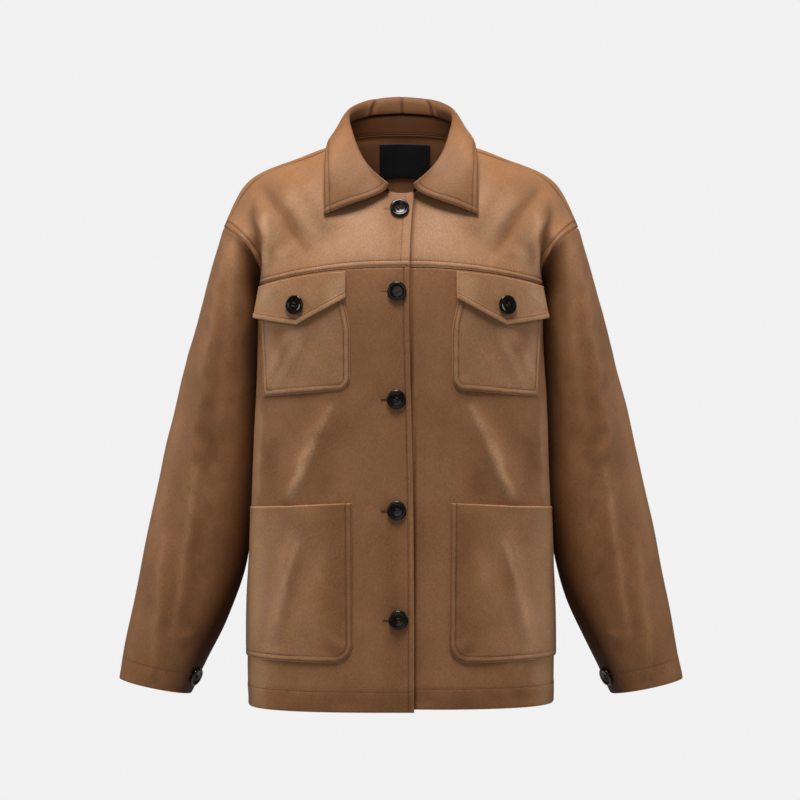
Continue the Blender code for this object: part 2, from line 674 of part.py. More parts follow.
def patch_distance(column, inner, outer, height, middle_height, side):
    """Distance of a patch's column at each height. Columns between the edges follow the panel's lines."""
    between = patch_columns(inner.min(), outer.max(), middle_height, side)
    last = len(between) + 1
    index = np.clip(column - 1, 0, len(between) - 1)
    edge = front_edge(np.array([middle_height]), side)[0]
    share = (between[index] - edge) / (girth(middle_height)[0] - SEAM / 2 - edge)
    here = front_edge(height, side)
    line = here + share * (girth(height) - SEAM / 2 - here)
    line = np.maximum(line, inner + PATCH_STEP * column)
    line = np.minimum(line, outer - PATCH_STEP * (last - column))
    return np.where(column == 0, inner, np.where(column == last, outer, line))


def corner_cut(rise, tall, radius):
    """How far a rounded lower corner pulls the edge in, at a share of the height."""
    up = np.clip(1 - rise * tall / radius, 0, 1)
    return radius * (1 - np.sqrt(1 - up**2))


def chest_pocket_surface(column, rise, side):
    """Chest pocket: column lines from its inner to its outer edge, rise from its bottom to its top."""
    column = np.rint(column).astype(int)
    inner = CHEST_INNER + corner_cut(rise, CHEST_TOP - CHEST_BOTTOM_INNER, CHEST_CORNER)
    inner = inner + CHEST_INNER_SLANT * ease((rise - CHEST_SLANT_START) / (1 - CHEST_SLANT_START))
    outer = CHEST_OUTER_LOW + (CHEST_OUTER - CHEST_OUTER_LOW) * rise
    level = CHEST_BOTTOM_INNER + rise * (CHEST_TOP - CHEST_BOTTOM_INNER)
    distance = patch_distance(column, inner, outer, level, CHEST_TOP, side)
    across = (distance - CHEST_INNER) / (CHEST_OUTER - CHEST_INNER)
    bottom = CHEST_BOTTOM_INNER + (CHEST_BOTTOM_OUTER - CHEST_BOTTOM_INNER) * across
    height = bottom + rise * (CHEST_TOP - bottom)
    return on_front(distance, height, side, GAP + POCKET_WALL + CHEST_EDGE_LIFT * across**4)


def hip_pocket_surface(column, rise, side):
    """Lower pocket: column lines from its inner edge to the side, rise from its bottom to its open top."""
    column = np.rint(column).astype(int)
    inner = HIP_INNER_BOTTOM + (HIP_INNER_TOP - HIP_INNER_BOTTOM) * rise
    inner = inner + corner_cut(rise, HIP_TOP_INNER - HIP_BOTTOM_INNER, HIP_CORNER)
    level = HIP_BOTTOM_INNER + rise * (HIP_TOP_INNER - HIP_BOTTOM_INNER)
    outer = girth(level) - HIP_TO_SIDE
    distance = patch_distance(column, inner, outer, level, HIP_TOP_INNER, side)
    across = (distance - HIP_INNER_TOP) / (outer - HIP_INNER_TOP)
    bottom = HIP_BOTTOM_INNER + (HIP_BOTTOM_OUTER - HIP_BOTTOM_INNER) * across
    top = HIP_TOP_INNER + (HIP_TOP_OUTER - HIP_TOP_INNER) * across
    gape = HIP_GAPE * ease((rise - GAPE_START) / (1 - GAPE_START)) * np.sin(math.pi * np.clip(across, 0, 1))
    height = bottom + rise * (top - bottom)
    fold = fold_height(distance, height, HIP_FOLDS)
    return on_front(distance, height, side, GAP + POCKET_WALL + gape + fold)


def flap_surface(column, rise, side):
    """Chest flap: column lines from its inner to its outer edge, rise from its pointed edge to the seam."""
    column = np.rint(column).astype(int)
    inner = np.full(len(rise), FLAP_INNER)
    outer = np.full(len(rise), FLAP_OUTER)
    level = FLAP_POINT_BOTTOM + rise * (YOKE_SEAM - FLAP_POINT_BOTTOM)
    distance = patch_distance(column, inner, outer, level, CHEST_TOP, side)
    return flap_place(distance, rise, side)


def flap_place(distance, rise, side):
    """Places on a flap at distances along the front's cloth."""
    across = (distance - FLAP_INNER) / (FLAP_OUTER - FLAP_INNER)
    top = front_top(distance) - FLAP_BELOW_SEAM
    bottom = np.interp(distance, [FLAP_INNER, FLAP_POINT, FLAP_OUTER],
                       [FLAP_INNER_BOTTOM, FLAP_POINT_BOTTOM, FLAP_OUTER_BOTTOM])
    hang = (1 - rise) * (FLAP_HANG + (FLAP_FLARE - FLAP_HANG) * across**3)
    height = bottom + rise * (top - bottom)
    return on_front(distance, height, side, 2 * (GAP + POCKET_WALL) + hang)


def label_surface(share, rise):
    """Neck label, on the inner face of the back."""
    x = LABEL_MIDDLE + (0.5 - share) * LABEL_WIDTH
    up = 1 + LABEL_BOTTOM + (LABEL_TOP - LABEL_BOTTOM) * rise
    reach = girth(UNDERARM, True)[0]

    def whole_back(part, high):
        return mirrored(back_surface(np.abs(part), high), np.where(part < 0, -1, 1))

    foot = flat_between(BACK_LINES, x / reach, lambda part: whole_back(part, up))
    return foot + normals(whole_back, x / reach, up) * (WALL + LABEL_GAP)


# ---------------------------------------------------------------- building
def clear_scene():
    """Remove what the scene starts with."""
    for old in list(bpy.data.objects):
        bpy.data.objects.remove(old, do_unlink=True)


def make_material(name, color, roughness):
    """Plain Principled material."""
    material = bpy.data.materials.new(name)
    material.use_nodes = True
    shader = material.node_tree.nodes["Principled BSDF"]
    shader.inputs["Base Color"].default_value = (*color, 1.0)
    shader.inputs["Roughness"].default_value = roughness
    shader.inputs["Metallic"].default_value = 0.0
    return material


def suede(name):
    """Brown suede of one piece."""
    return make_material(name + "_suede", SUEDE_COLOR, 0.9)


def horn(name):
    """Dark horn of one button."""
    return make_material(name + "_horn", HORN_COLOR, 0.25)


def woven(name):
    """Black weave of the label."""
    return make_material(name + "_weave", LABEL_COLOR, 0.7)


def place_object(name, mesh, material, collection):
    """Object of a mesh in the part's collection."""
    piece = bpy.data.objects.new(name, mesh)
    mesh.materials.append(material)
    collection.objects.link(piece)
    return piece


def cloth_piece(name, surface, across, up, wall, flip, collection, material, closed=False):
    """Piece of cloth: a grid moved onto a surface and given its wall on the inner side.

    across and up are the shares of the grid's lines.
    """
    grid = bmesh.new()
    bmesh.ops.create_grid(grid, x_segments=len(across) - 1, y_segments=len(up) - 1, size=0.5)
    points = np.array([vert.co[:2] for vert in grid.verts]) + 0.5
    first = across[np.rint(points[:, 0] * (len(across) - 1)).astype(int)]
    second = up[np.rint(points[:, 1] * (len(up) - 1)).astype(int)]
    for vert, place in zip(grid.verts, surface(first, second)):
        vert.co = place
    if closed:
        bmesh.ops.remove_doubles(grid, verts=grid.verts, dist=MERGE)
    if flip:
        bmesh.ops.reverse_faces(grid, faces=grid.faces)
    mesh = bpy.data.meshes.new(name)
    grid.to_mesh(mesh)
    grid.free()
    mesh.shade_smooth()
    piece = place_object(name, mesh, material, collection)
    solid = piece.modifiers.new("wall", "SOLIDIFY")
    solid.thickness = wall
    solid.offset = -1
    solid.use_even_offset = False
    return piece


def sided(surface, side):
    """Surface of the +X side turned over to the asked side."""
    return lambda first, second: mirrored(surface(first, second, side), side)


def build_panels(collection):
    """Back, fronts and yokes."""
    def whole_back(share, rise):
        return mirrored(back_surface(np.abs(share), rise), np.where(share < 0, 1, -1))

    cloth_piece("back", whole_back, BACK_LINES, BACK_ROWS, WALL, False, collection, suede("back"))
    for side, word in ((RIGHT, "right"), (LEFT, "left")):
        flip = side == RIGHT
        name = "front_" + word
        cloth_piece(name, sided(front_surface, side), FRONT_LINES, FRONT_ROWS,
                    WALL, flip, collection, suede(name))
        name = "yoke_" + word
        cloth_piece(name, sided(yoke_surface, side), YOKE_LINES, YOKE_ROWS,
                    WALL, flip, collection, suede(name))


def build_sleeves(collection):
    """Both sleeves."""
    for side, word in ((RIGHT, "right"), (LEFT, "left")):
        name = "sleeve_" + word
        cloth_piece(name, lambda turn, share: sleeve_piece(turn, share, side), SLEEVE_TURNS,
                    SLEEVE_ROWS, WALL, side == RIGHT, collection, suede(name), closed=True)


def build_collar(collection):
    """Stand and folded collar."""
    cloth_piece("collar_stand", stand_surface, COLLAR_LINES, STAND_ROWS,
                COLLAR_WALL, False, collection, suede("collar_stand"))
    cloth_piece("collar_fall", fall_surface, COLLAR_LINES, FALL_LINES,
                COLLAR_WALL, False, collection, suede("collar_fall"))


def patch_lines(inner, outer, side):
    """Numbers of a patch's column lines."""
    return np.arange(len(patch_columns(inner, outer, CHEST_TOP, side)) + 2.0)


def build_pockets(collection):
    """Pockets and flaps of both fronts, and the label."""
    for side, word in ((RIGHT, "right"), (LEFT, "left")):
        flip = side == RIGHT
        name = "chest_pocket_" + word
        cloth_piece(name, sided(chest_pocket_surface, side), patch_lines(CHEST_INNER, CHEST_OUTER, side),
                    PATCH_ROWS, POCKET_WALL, flip, collection, suede(name))
        name = "hip_pocket_" + word
        outer = girth(HIP_TOP_INNER)[0] - HIP_TO_SIDE
        between = patch_columns(HIP_INNER_BOTTOM, outer, HIP_TOP_INNER, side)
        cloth_piece(name, sided(hip_pocket_surface, side), np.arange(len(between) + 2.0),
                    PATCH_ROWS, POCKET_WALL, flip, collection, suede(name))
        name = "flap_" + word
        cloth_piece(name, sided(flap_surface, side), patch_lines(FLAP_INNER, FLAP_OUTER, side),
                    FLAP_ROWS, POCKET_WALL, flip, collection, suede(name))
    cloth_piece("neck_label", label_surface, LABEL_LINES, LABEL_ROWS,
                LABEL_WALL, False, collection, woven("neck_label"))


def button(name, radius, place, facing, collection):
    """Round button with a raised rim, its back towards the cloth."""
    outline = bmesh.new()
    verts = [outline.verts.new((row.across * radius, 0, row.up * radius)) for row in BUTTON_PROFILE]
    for first, second in zip(verts, verts[1:]):
        outline.edges.new((first, second))
    mesh = bpy.data.meshes.new(name)
    outline.to_mesh(mesh)
    outline.free()
    piece = place_object(name, mesh, horn(name), collection)
    turned = piece.modifiers.new("turned", "SCREW")
    turned.axis = "Z"
    turned.angle = 2 * math.pi
    turned.steps = BUTTON_TURNS
    turned.render_steps = BUTTON_TURNS
    turned.use_merge_vertices = True
    turned.merge_threshold = MERGE
    turn = Vector((0, 0, 1)).rotation_difference(Vector(facing)).to_matrix().to_4x4()
    piece.matrix_world = Matrix.Translation(Vector(place) + BUTTON_LIFT * Vector(facing)) @ turn
    return piece


def facing_of(surface, first, second):
    """Normal of a surface at one place."""
    return normals(surface, np.array([first]), np.array([second]))[0]


def build_buttons(collection):
    """Buttons of the front edge, the flaps and the cuffs."""
    def on_yoke(share, rise):
        return yoke_surface(share, rise, RIGHT)

    def on_cuff(turn, share):
        return flat_between(SLEEVE_TURNS, turn, lambda line: sleeve_piece(line, share, LEFT))

    for number, row in enumerate(FRONT_BUTTONS, start=1):
        if row.height > YOKE_SEAM:
            place = on_yoke(np.array([TOP_BUTTON_SHARE]), np.array([TOP_BUTTON_RISE]))[0]
            facing = facing_of(on_yoke, TOP_BUTTON_SHARE, TOP_BUTTON_RISE)
        else:
            place = front_place(np.array([-row.x]), row.height, RIGHT)[0]
            facing = facing_of(lambda a, b: front_place(a, b, RIGHT), -row.x, row.height)
        turn = np.array([RIGHT, 1, 1])
        button("button_front_%d" % number, BUTTON_RADIUS, place * turn, facing * turn, collection)
    for side, word in ((RIGHT, "right"), (LEFT, "left")):
        turn = np.array([side, 1, 1])

        def flap(distance, rise):
            return flap_place(distance, rise, side)

        place = flap(np.array([FLAP_BUTTON_AT]), np.array([FLAP_BUTTON_RISE]))[0]
        facing = facing_of(flap, FLAP_BUTTON_AT, FLAP_BUTTON_RISE)
        button("button_flap_" + word, FLAP_BUTTON_RADIUS, place * turn, facing * turn, collection)
        place = on_cuff(np.array([CUFF_BUTTON_TURN]), np.array([CUFF_BUTTON_SHARE]))[0]
        facing = facing_of(on_cuff, CUFF_BUTTON_TURN, CUFF_BUTTON_SHARE)
        button("button_cuff_" + word, FLAP_BUTTON_RADIUS, place * turn, facing * turn, collection)


def main():
    """Build the whole jacket."""
    clear_scene()
    collection = bpy.data.collections.new("suede_jacket")
    bpy.context.scene.collection.children.link(collection)
    build_panels(collection)
    build_sleeves(collection)
    build_collar(collection)
    build_pockets(collection)
    build_buttons(collection)


main()
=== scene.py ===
"""Dress of the suede jacket: cloth, sewing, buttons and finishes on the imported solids.

Metres, +Z up, the front towards -Y, the wearer's right at -X. Each class is one sub-assembly of the
jacket. Its sizes are its fields, and its methods make its meshes and give them their finishes.
"""
import logging
import math
from dataclasses import dataclass, field
from enum import Enum
from functools import cached_property, partial
from typing import Callable, NamedTuple

import bmesh
import bpy
import numpy as np
from mathutils import Matrix, Vector

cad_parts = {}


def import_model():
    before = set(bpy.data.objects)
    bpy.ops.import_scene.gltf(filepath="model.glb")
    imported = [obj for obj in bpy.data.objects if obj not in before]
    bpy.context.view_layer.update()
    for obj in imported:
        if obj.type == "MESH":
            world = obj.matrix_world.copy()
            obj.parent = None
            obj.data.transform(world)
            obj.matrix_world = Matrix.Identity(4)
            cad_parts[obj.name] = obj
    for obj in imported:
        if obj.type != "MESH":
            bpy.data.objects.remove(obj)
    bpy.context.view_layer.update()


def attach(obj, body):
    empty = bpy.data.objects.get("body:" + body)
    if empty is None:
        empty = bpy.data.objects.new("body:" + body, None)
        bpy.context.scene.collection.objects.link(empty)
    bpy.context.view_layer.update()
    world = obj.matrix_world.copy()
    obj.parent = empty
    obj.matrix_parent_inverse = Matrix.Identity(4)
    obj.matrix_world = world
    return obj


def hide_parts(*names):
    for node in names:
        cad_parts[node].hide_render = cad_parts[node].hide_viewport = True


log = logging.getLogger("jacket")
Array = np.ndarray
Surface = Callable[[Array, Array], Array]
BODY_NAME = "root"
UP = np.array([0.0, 0.0, 1.0])
MERGE = 0.00002  # points of cloth closer than this are one
HIDE_RISE = 0.37  # how far up the hide a piece is cut, for each unit across


class Side(Enum):
    """Side of the wearer, as the sign of its x."""

    RIGHT = -1
    LEFT = 1

    @property
    def word(self) -> str:
        """Word used in the names of this side's pieces."""
        return self.name.lower()


class Edge(Enum):
    """Edge of a sheet's grid."""

    START = "start"
    END = "end"
    BOTTOM = "bottom"
    TOP = "top"


class Held(Enum):
    """How a sheet of cloth is held."""

    HUNG = "hung"
    FOLDED = "folded"
    LAID = "laid"


# ---------------------------------------------------------------- rows of the tables
class BodyRow(NamedTuple):
    """Outline of the body at one height."""

    height: float
    half_width: float
    side_width: float
    front_depth: float
    back_depth: float


class Place(NamedTuple):
    """Point of a seam."""

    x: float
    y: float
    z: float


class Rib(NamedTuple):
    """Two places that an upper panel passes through, at a share of its width."""

    share: float
    low_x: float
    low_y: float
    low_z: float
    high_x: float
    high_y: float
    high_z: float


class SleeveRow(NamedTuple):
    """Oval of a sleeve at a share of its length."""

    share: float
    x: float
    y: float
    z: float
    half_width: float
    half_depth: float
    tilt: float


class CollarRow(NamedTuple):
    """Fold and edge of the collar at a share from the back to the front."""

    share: float
    fold_x: float
    fold_y: float
    fold_z: float
    edge_x: float
    edge_y: float
    edge_z: float
    bulge: float
    sag: float


class Fold(NamedTuple):
    """Soft ridge, or trough where its rise is negative, between two places seen from the front."""

    from_x: float
    from_z: float
    to_x: float
    to_z: float
    width: float
    rise: float


def folds_of(*rows: tuple) -> tuple:
    """Folds from rows in millimetres."""
    return tuple(Fold(*(part / 1000 for part in row)) for row in rows)


def light_and_shade_of(*rows: tuple) -> tuple:
    """Bands of painted light and shade from rows in millimetres, with the tone at the end of each as it is.
    """
    return tuple(Fold(*(part / 1000 for part in row[:-1]), row[-1]) for row in rows)


# ---------------------------------------------------------------- curves
def spline(at: Array, knots: Array, values: Array) -> Array:
    """Natural cubic spline through the values at the knots.

    Args:
        at: Parameters asked for.
        knots: Rising parameters of the values.
        values: One row for each knot.

    Returns:
        One row for each parameter.
    """
    knots = np.asarray(knots, float)
    values = np.asarray(values, float)
    flat = values.reshape(len(knots), -1)
    step = np.diff(knots)
    slope = np.diff(flat, axis=0) / step[:, None]
    system = np.eye(len(knots))
    load = np.zeros_like(flat)
    for row in range(1, len(knots) - 1):
        system[row, row - 1:row + 2] = step[row - 1], 2 * (step[row - 1] + step[row]), step[row]
        load[row] = 6 * (slope[row] - slope[row - 1])
    bend = np.linalg.solve(system, load)
    at = np.asarray(at, float)
    where = at.reshape(-1)
    cell = np.clip(np.searchsorted(knots, where, side="right") - 1, 0, len(step) - 1)
    width = step[cell][:, None]
    after = (where - knots[cell])[:, None] / width
    before = 1 - after
    value = before * flat[cell] + after * flat[cell + 1]
    value += ((before**3 - before) * bend[cell] + (after**3 - after) * bend[cell + 1]) * width**2 / 6
    return value.reshape(at.shape + values.shape[1:])


def through(at: Array, knots: Array, stations: Array) -> Array:
    """Place on the spline of each row through its own stations, at that row's parameter.

    Args:
        at: One parameter for each row.
        knots: Parameters of the stations.
        stations: Places by knot, row and coordinate.

    Returns:
        One place for each row.
    """
    weights = spline(at, knots, np.eye(len(knots)))
    return np.einsum("nk,knc->nc", weights, stations)


def run_along(points: Array) -> Array:
    """Length along a chain of points at each of them."""
    steps = np.linalg.norm(np.diff(np.asarray(points, float), axis=0), axis=1)
    return np.concatenate([[0.0], np.cumsum(steps)])


def chord_shares(points: Array) -> Array:
    """Share of the way along a chain of points at each of them."""
    length = run_along(points)
    return length / length[-1]


def along(points: Array, share: Array) -> Array:
    """Places at the given shares of a smooth curve through the points."""
    return spline(share, chord_shares(points), points)


def ease(value: Array) -> Array:
    """Zero below 0, one above 1, smooth between."""
    value = np.clip(value, 0.0, 1.0)
    return value * value * (3 - 2 * value)


def bump(value: Array, width: float) -> Array:
    """One at zero, falling smoothly to nothing a few widths away."""
    return np.exp(-(value / width) ** 2)


def between(low: float, high: float, share: Array) -> Array:
    """Value at a share of the way from one to the other."""
    return low + (high - low) * share


def spline_of(at: Array, rows: tuple) -> Array:
    """Spline through the rows of a table, by the first size of each."""
    table = np.array(rows, float)
    return spline(at, table[:, 0], table[:, 1:])


def mirrored(place: Array, sign: float) -> Array:
    """Places with x turned over where the sign is negative."""
    return np.concatenate([place[:, :1] * np.reshape(sign, (-1, 1)), place[:, 1:]], axis=1)


def unit(vectors: Array) -> Array:
    """Vectors of length one."""
    return vectors / np.linalg.norm(vectors, axis=-1, keepdims=True)


def fold_height(x: Array, z: Array, folds: tuple) -> Array:
    """Height of a table of folds.

    Args:
        x: Distance from the middle.
        z: Height.
        folds: Rows of the table.

    Returns:
        Height of the cloth above its smooth form.
    """
    total = np.zeros(np.shape(x))
    for fold in folds:
        run_x = fold.to_x - fold.from_x
        run_z = fold.to_z - fold.from_z
        part = ((x - fold.from_x) * run_x + (z - fold.from_z) * run_z) / (run_x**2 + run_z**2)
        part = np.clip(part, 0, 1)
        off = np.hypot(x - fold.from_x - part * run_x, z - fold.from_z - part * run_z)
        total += fold.rise * bump(off, fold.width) * (1 - (2 * part - 1) ** 4 / 2)
    return total


def folded(place: Array, folds: tuple, facing: int, free: float = 0.06) -> Array:
    """Raise places by folds.

    Args:
        place: Places on a smooth form.
        folds: Table of the folds.
        facing: Where they rise to: the front with -1, the back with 1.
        free: Depth at which they have their full height.

    Returns:
        The raised places.
    """
    place = place.copy()
    clear_of_side = ease(np.abs(place[:, 1]) / free)
    place[:, 1] += facing * clear_of_side * fold_height(place[:, 0], place[:, 2], folds)
    return place


def normals(surface: Surface, first: Array, second: Array, small: float = 0.002) -> Array:
    """Unit normals of a surface.

    Args:
        surface: Gives places at pairs of parameters.
        first: First parameters.
        second: Second parameters.
        small: Step of the parameters.

    Returns:
        One normal for each pair.
    """
    along_first = surface(first + small, second) - surface(first - small, second)
    along_second = surface(first, second + small) - surface(first, second - small)
    normal = np.cross(along_first, along_second)
    return normal / np.linalg.norm(normal, axis=1)[:, None]


# ---------------------------------------------------------------- form of the jacket
@dataclass(frozen=True)
class Body:
    """Filled-out trunk of the jacket."""

    rows: tuple = (
        BodyRow(-0.69, 0.185, 0.185, 0.117, 0.116), BodyRow(-0.55, 0.186, 0.185, 0.117, 0.113),
        BodyRow(-0.463, 0.189, 0.178, 0.1155, 0.111), BodyRow(-0.376, 0.19, 0.169, 0.1165, 0.109),
        BodyRow(-0.28, 0.186, 0.159, 0.122, 0.109), BodyRow(-0.197, 0.182, 0.158, 0.1265, 0.11),
        BodyRow(-0.15, 0.18, 0.158, 0.1245, 0.108),
    )
    power: float = 2.8
    dent_front: float = 0.045
    dent_back: float = 0.066
    lowest: float = -0.705
    highest: float = -0.12
    levels: int = 440
    steps: int = 640

    @cached_property
    def tables(self) -> dict:
        """Outlines by height, at even steps along the cloth.

        Returns:
            Girth, x and y at every level, for the front under False and the back under True.
        """
        levels = np.linspace(self.lowest, self.highest, self.levels)
        sizes = spline_of(levels, self.rows)
        turn = np.linspace(0, math.pi / 2, self.steps)
        halves = {}
        for back in (False, True):
            rows = []
            for half_width, side_width, front_depth, back_depth in sizes:
                y = (back_depth if back else -front_depth) * np.clip(np.cos(turn), 0, 1) ** (2 / self.power)
                dent = bump(y, self.dent_back if back else self.dent_front)
                x = half_width * np.sin(turn) ** (2 / self.power) - (half_width - side_width) * dent
                length = run_along(np.stack([x, y], axis=1))
                even = np.linspace(0, length[-1], self.steps)
                rows.append((length[-1], np.interp(even, length, x), np.interp(even, length, y)))
            halves[back] = [np.array(column) for column in zip(*rows)]
        return halves

    def level_of(self, height: Array) -> tuple:
        """Row of the tables below each height, and how far past it the height lies."""
        row = (height - self.lowest) / (self.highest - self.lowest) * (self.levels - 1)
        return np.divmod(np.clip(row, 0, self.levels - 1.001), 1)

    def girth(self, height: Array, back: bool = False) -> Array:
        """Cloth from the middle to the side seam at each height.

        Args:
            height: Heights.
            back: Whether it is that of the back.

        Returns:
            Length at each of them.
        """
        row, part = self.level_of(np.asarray(height, float))
        row, girths = row.astype(int), self.tables[back][0]
        return between(girths[row], girths[row + 1], part)

    def point(self, distance: Array, height: Array, back: bool = False) -> Array:
        """Places on the body.

        Args:
            distance: Cloth from the middle, negative past it.
            height: Height of each place.
            back: Whether they are on the back.

        Returns:
            One place a row.
        """
        distance, height = (np.array(part, float) for part in np.broadcast_arrays(distance, height))
        row, part = self.level_of(height)
        row = row.astype(int)
        share = np.clip(np.abs(distance) / self.girth(height, back), 0, 1) * (self.steps - 1)
        cell = np.minimum(share.astype(int), self.steps - 2)
        x, y = (between(between(table[row, cell], table[row, cell + 1], share - cell),
                        between(table[row + 1, cell], table[row + 1, cell + 1], share - cell), part)
                for table in self.tables[back][1:])
        return np.stack([x * np.where(distance < 0, -1, 1), y, height], axis=1)


@dataclass(frozen=True)
class Cut:
    """Pattern that the panels share: seams, edges and the neckline."""

    body: Body = Body()
    wall: float = 0.002
    patch_wall: float = 0.0016
    gap: float = 0.0004
    seam: float = 0.0006
    hem_right: float = -0.6855
    hem_left: float = -0.682
    back_hem: float = -0.6845
    underarm: float = -0.197
    yoke_seam: float = -0.1612
    yoke_drop: float = 0.0174
    yoke_bend: float = 2.2
    yoke_span: float = 0.165
    armhole_return: float = 0.04
    allowance: float = 0.003
    underlap: float = 0.014
    underlap_gap: float = 0.0008
    tuck_flat: float = 0.02
    tuck_end: float = 0.06
    edge_heights: tuple = (-0.7, -0.34, -0.161, -0.1, -0.06)
    edge_past_middle: tuple = (0.0155, 0.0125, 0.01, 0.013, 0.017)
    buttons: tuple = ((-0.0047, -0.1897), (-0.0054, -0.3166), (-0.0049, -0.4476), (-0.0031, -0.5763))
    neckline: tuple = (
        Place(-0.016, -0.088, -0.07), Place(0.014, -0.088, -0.069), Place(0.034, -0.0825, -0.0545),
        Place(0.055, -0.069, -0.0315), Place(0.071, -0.0465, -0.0155), Place(0.078, -0.018, -0.0075),
        Place(0.076, 0.012, -0.001), Place(0.062, 0.042, 0.006), Place(0.036, 0.063, 0.012),
        Place(0.0, 0.072, 0.014),
    )
    collar_start: int = 1
    neck_point: int = 5

    @cached_property
    def reach(self) -> float:
        """Cloth of the front from the middle to the underarm point."""
        return float(self.body.girth(self.underarm))

    def hem(self, side: Side) -> float:
        """Height of a front's hem."""
        return self.hem_left if side is Side.LEFT else self.hem_right

    def front_edge(self, height: Array, side: Side) -> Array:
        """Distance of a front's edge from the middle, negative past it."""
        past = spline(height, self.edge_heights, self.edge_past_middle)
        return np.full(np.shape(height), -self.underlap) if side is Side.LEFT else -past

    def tuck(self, x: Array, side: Side) -> Array:
        """How much deeper the lower front lies near the middle."""
        deep = self.wall + self.underlap_gap if side is Side.LEFT else 0.0
        return deep * (1 - ease((x - self.tuck_flat) / (self.tuck_end - self.tuck_flat)))

    def front_top(self, distance: Array) -> Array:
        """Top edge of a lower front.

        Args:
            distance: Cloth from the middle.

        Returns:
            Height of the yoke seam, and past its end of the armhole, down to the underarm.
        """
        x = self.body.point(distance, self.yoke_seam)[:, 0]
        seam = self.yoke_seam - self.yoke_drop * (np.abs(x) / self.yoke_span) ** self.yoke_bend
        down = np.clip((distance - (self.reach - self.armhole_return)) / self.armhole_return, 0, 1)
        return between(seam, self.underarm, down)


@dataclass(frozen=True)
class FrontForm:
    """Form of a lower front, with the folds that run over it."""

    cut: Cut
    folds: tuple = folds_of(
        (88, -338, 135, -432, 13, 3), (122, -350, 164, -425, 18, -1.8), (66, -360, 98, -440, 18, -1),
    )

    def place(self, distance: Array, height: Array, side: Side) -> Array:
        """Places on a lower front, on the +X side.

        Args:
            distance: Cloth from the middle.
            height: Height of each place.
            side: Side of the wearer, for its lap.

        Returns:
            One place a row.
        """
        place = self.cut.body.point(distance, height)
        place[:, 1] += self.cut.tuck(distance, side)
        return folded(place, self.folds, -1)

    def surface(self, share: Array, rise: Array, side: Side) -> Array:
        """Lower front.

        Args:
            share: Share from the front edge to the side seam.
            rise: Share from the hem to the top.
            side: Side of the wearer.

        Returns:
            One place a row.
        """
        cut = self.cut
        top = cut.front_top(-cut.underlap + share * (cut.reach + cut.underlap)) + cut.allowance
        height = between(cut.hem(side), top, rise)
        edge = cut.front_edge(height, side)
        return self.place(between(edge, cut.body.girth(height) - cut.seam / 2, share), height, side)

    def above(self, distance: Array, height: Array, side: Side, lift: Array) -> Array:
        """Places at a lift above a front."""
        normal = normals(partial(self.place, side=side), distance, height)
        return self.place(distance, height, side) + normal * np.reshape(lift, (-1, 1))


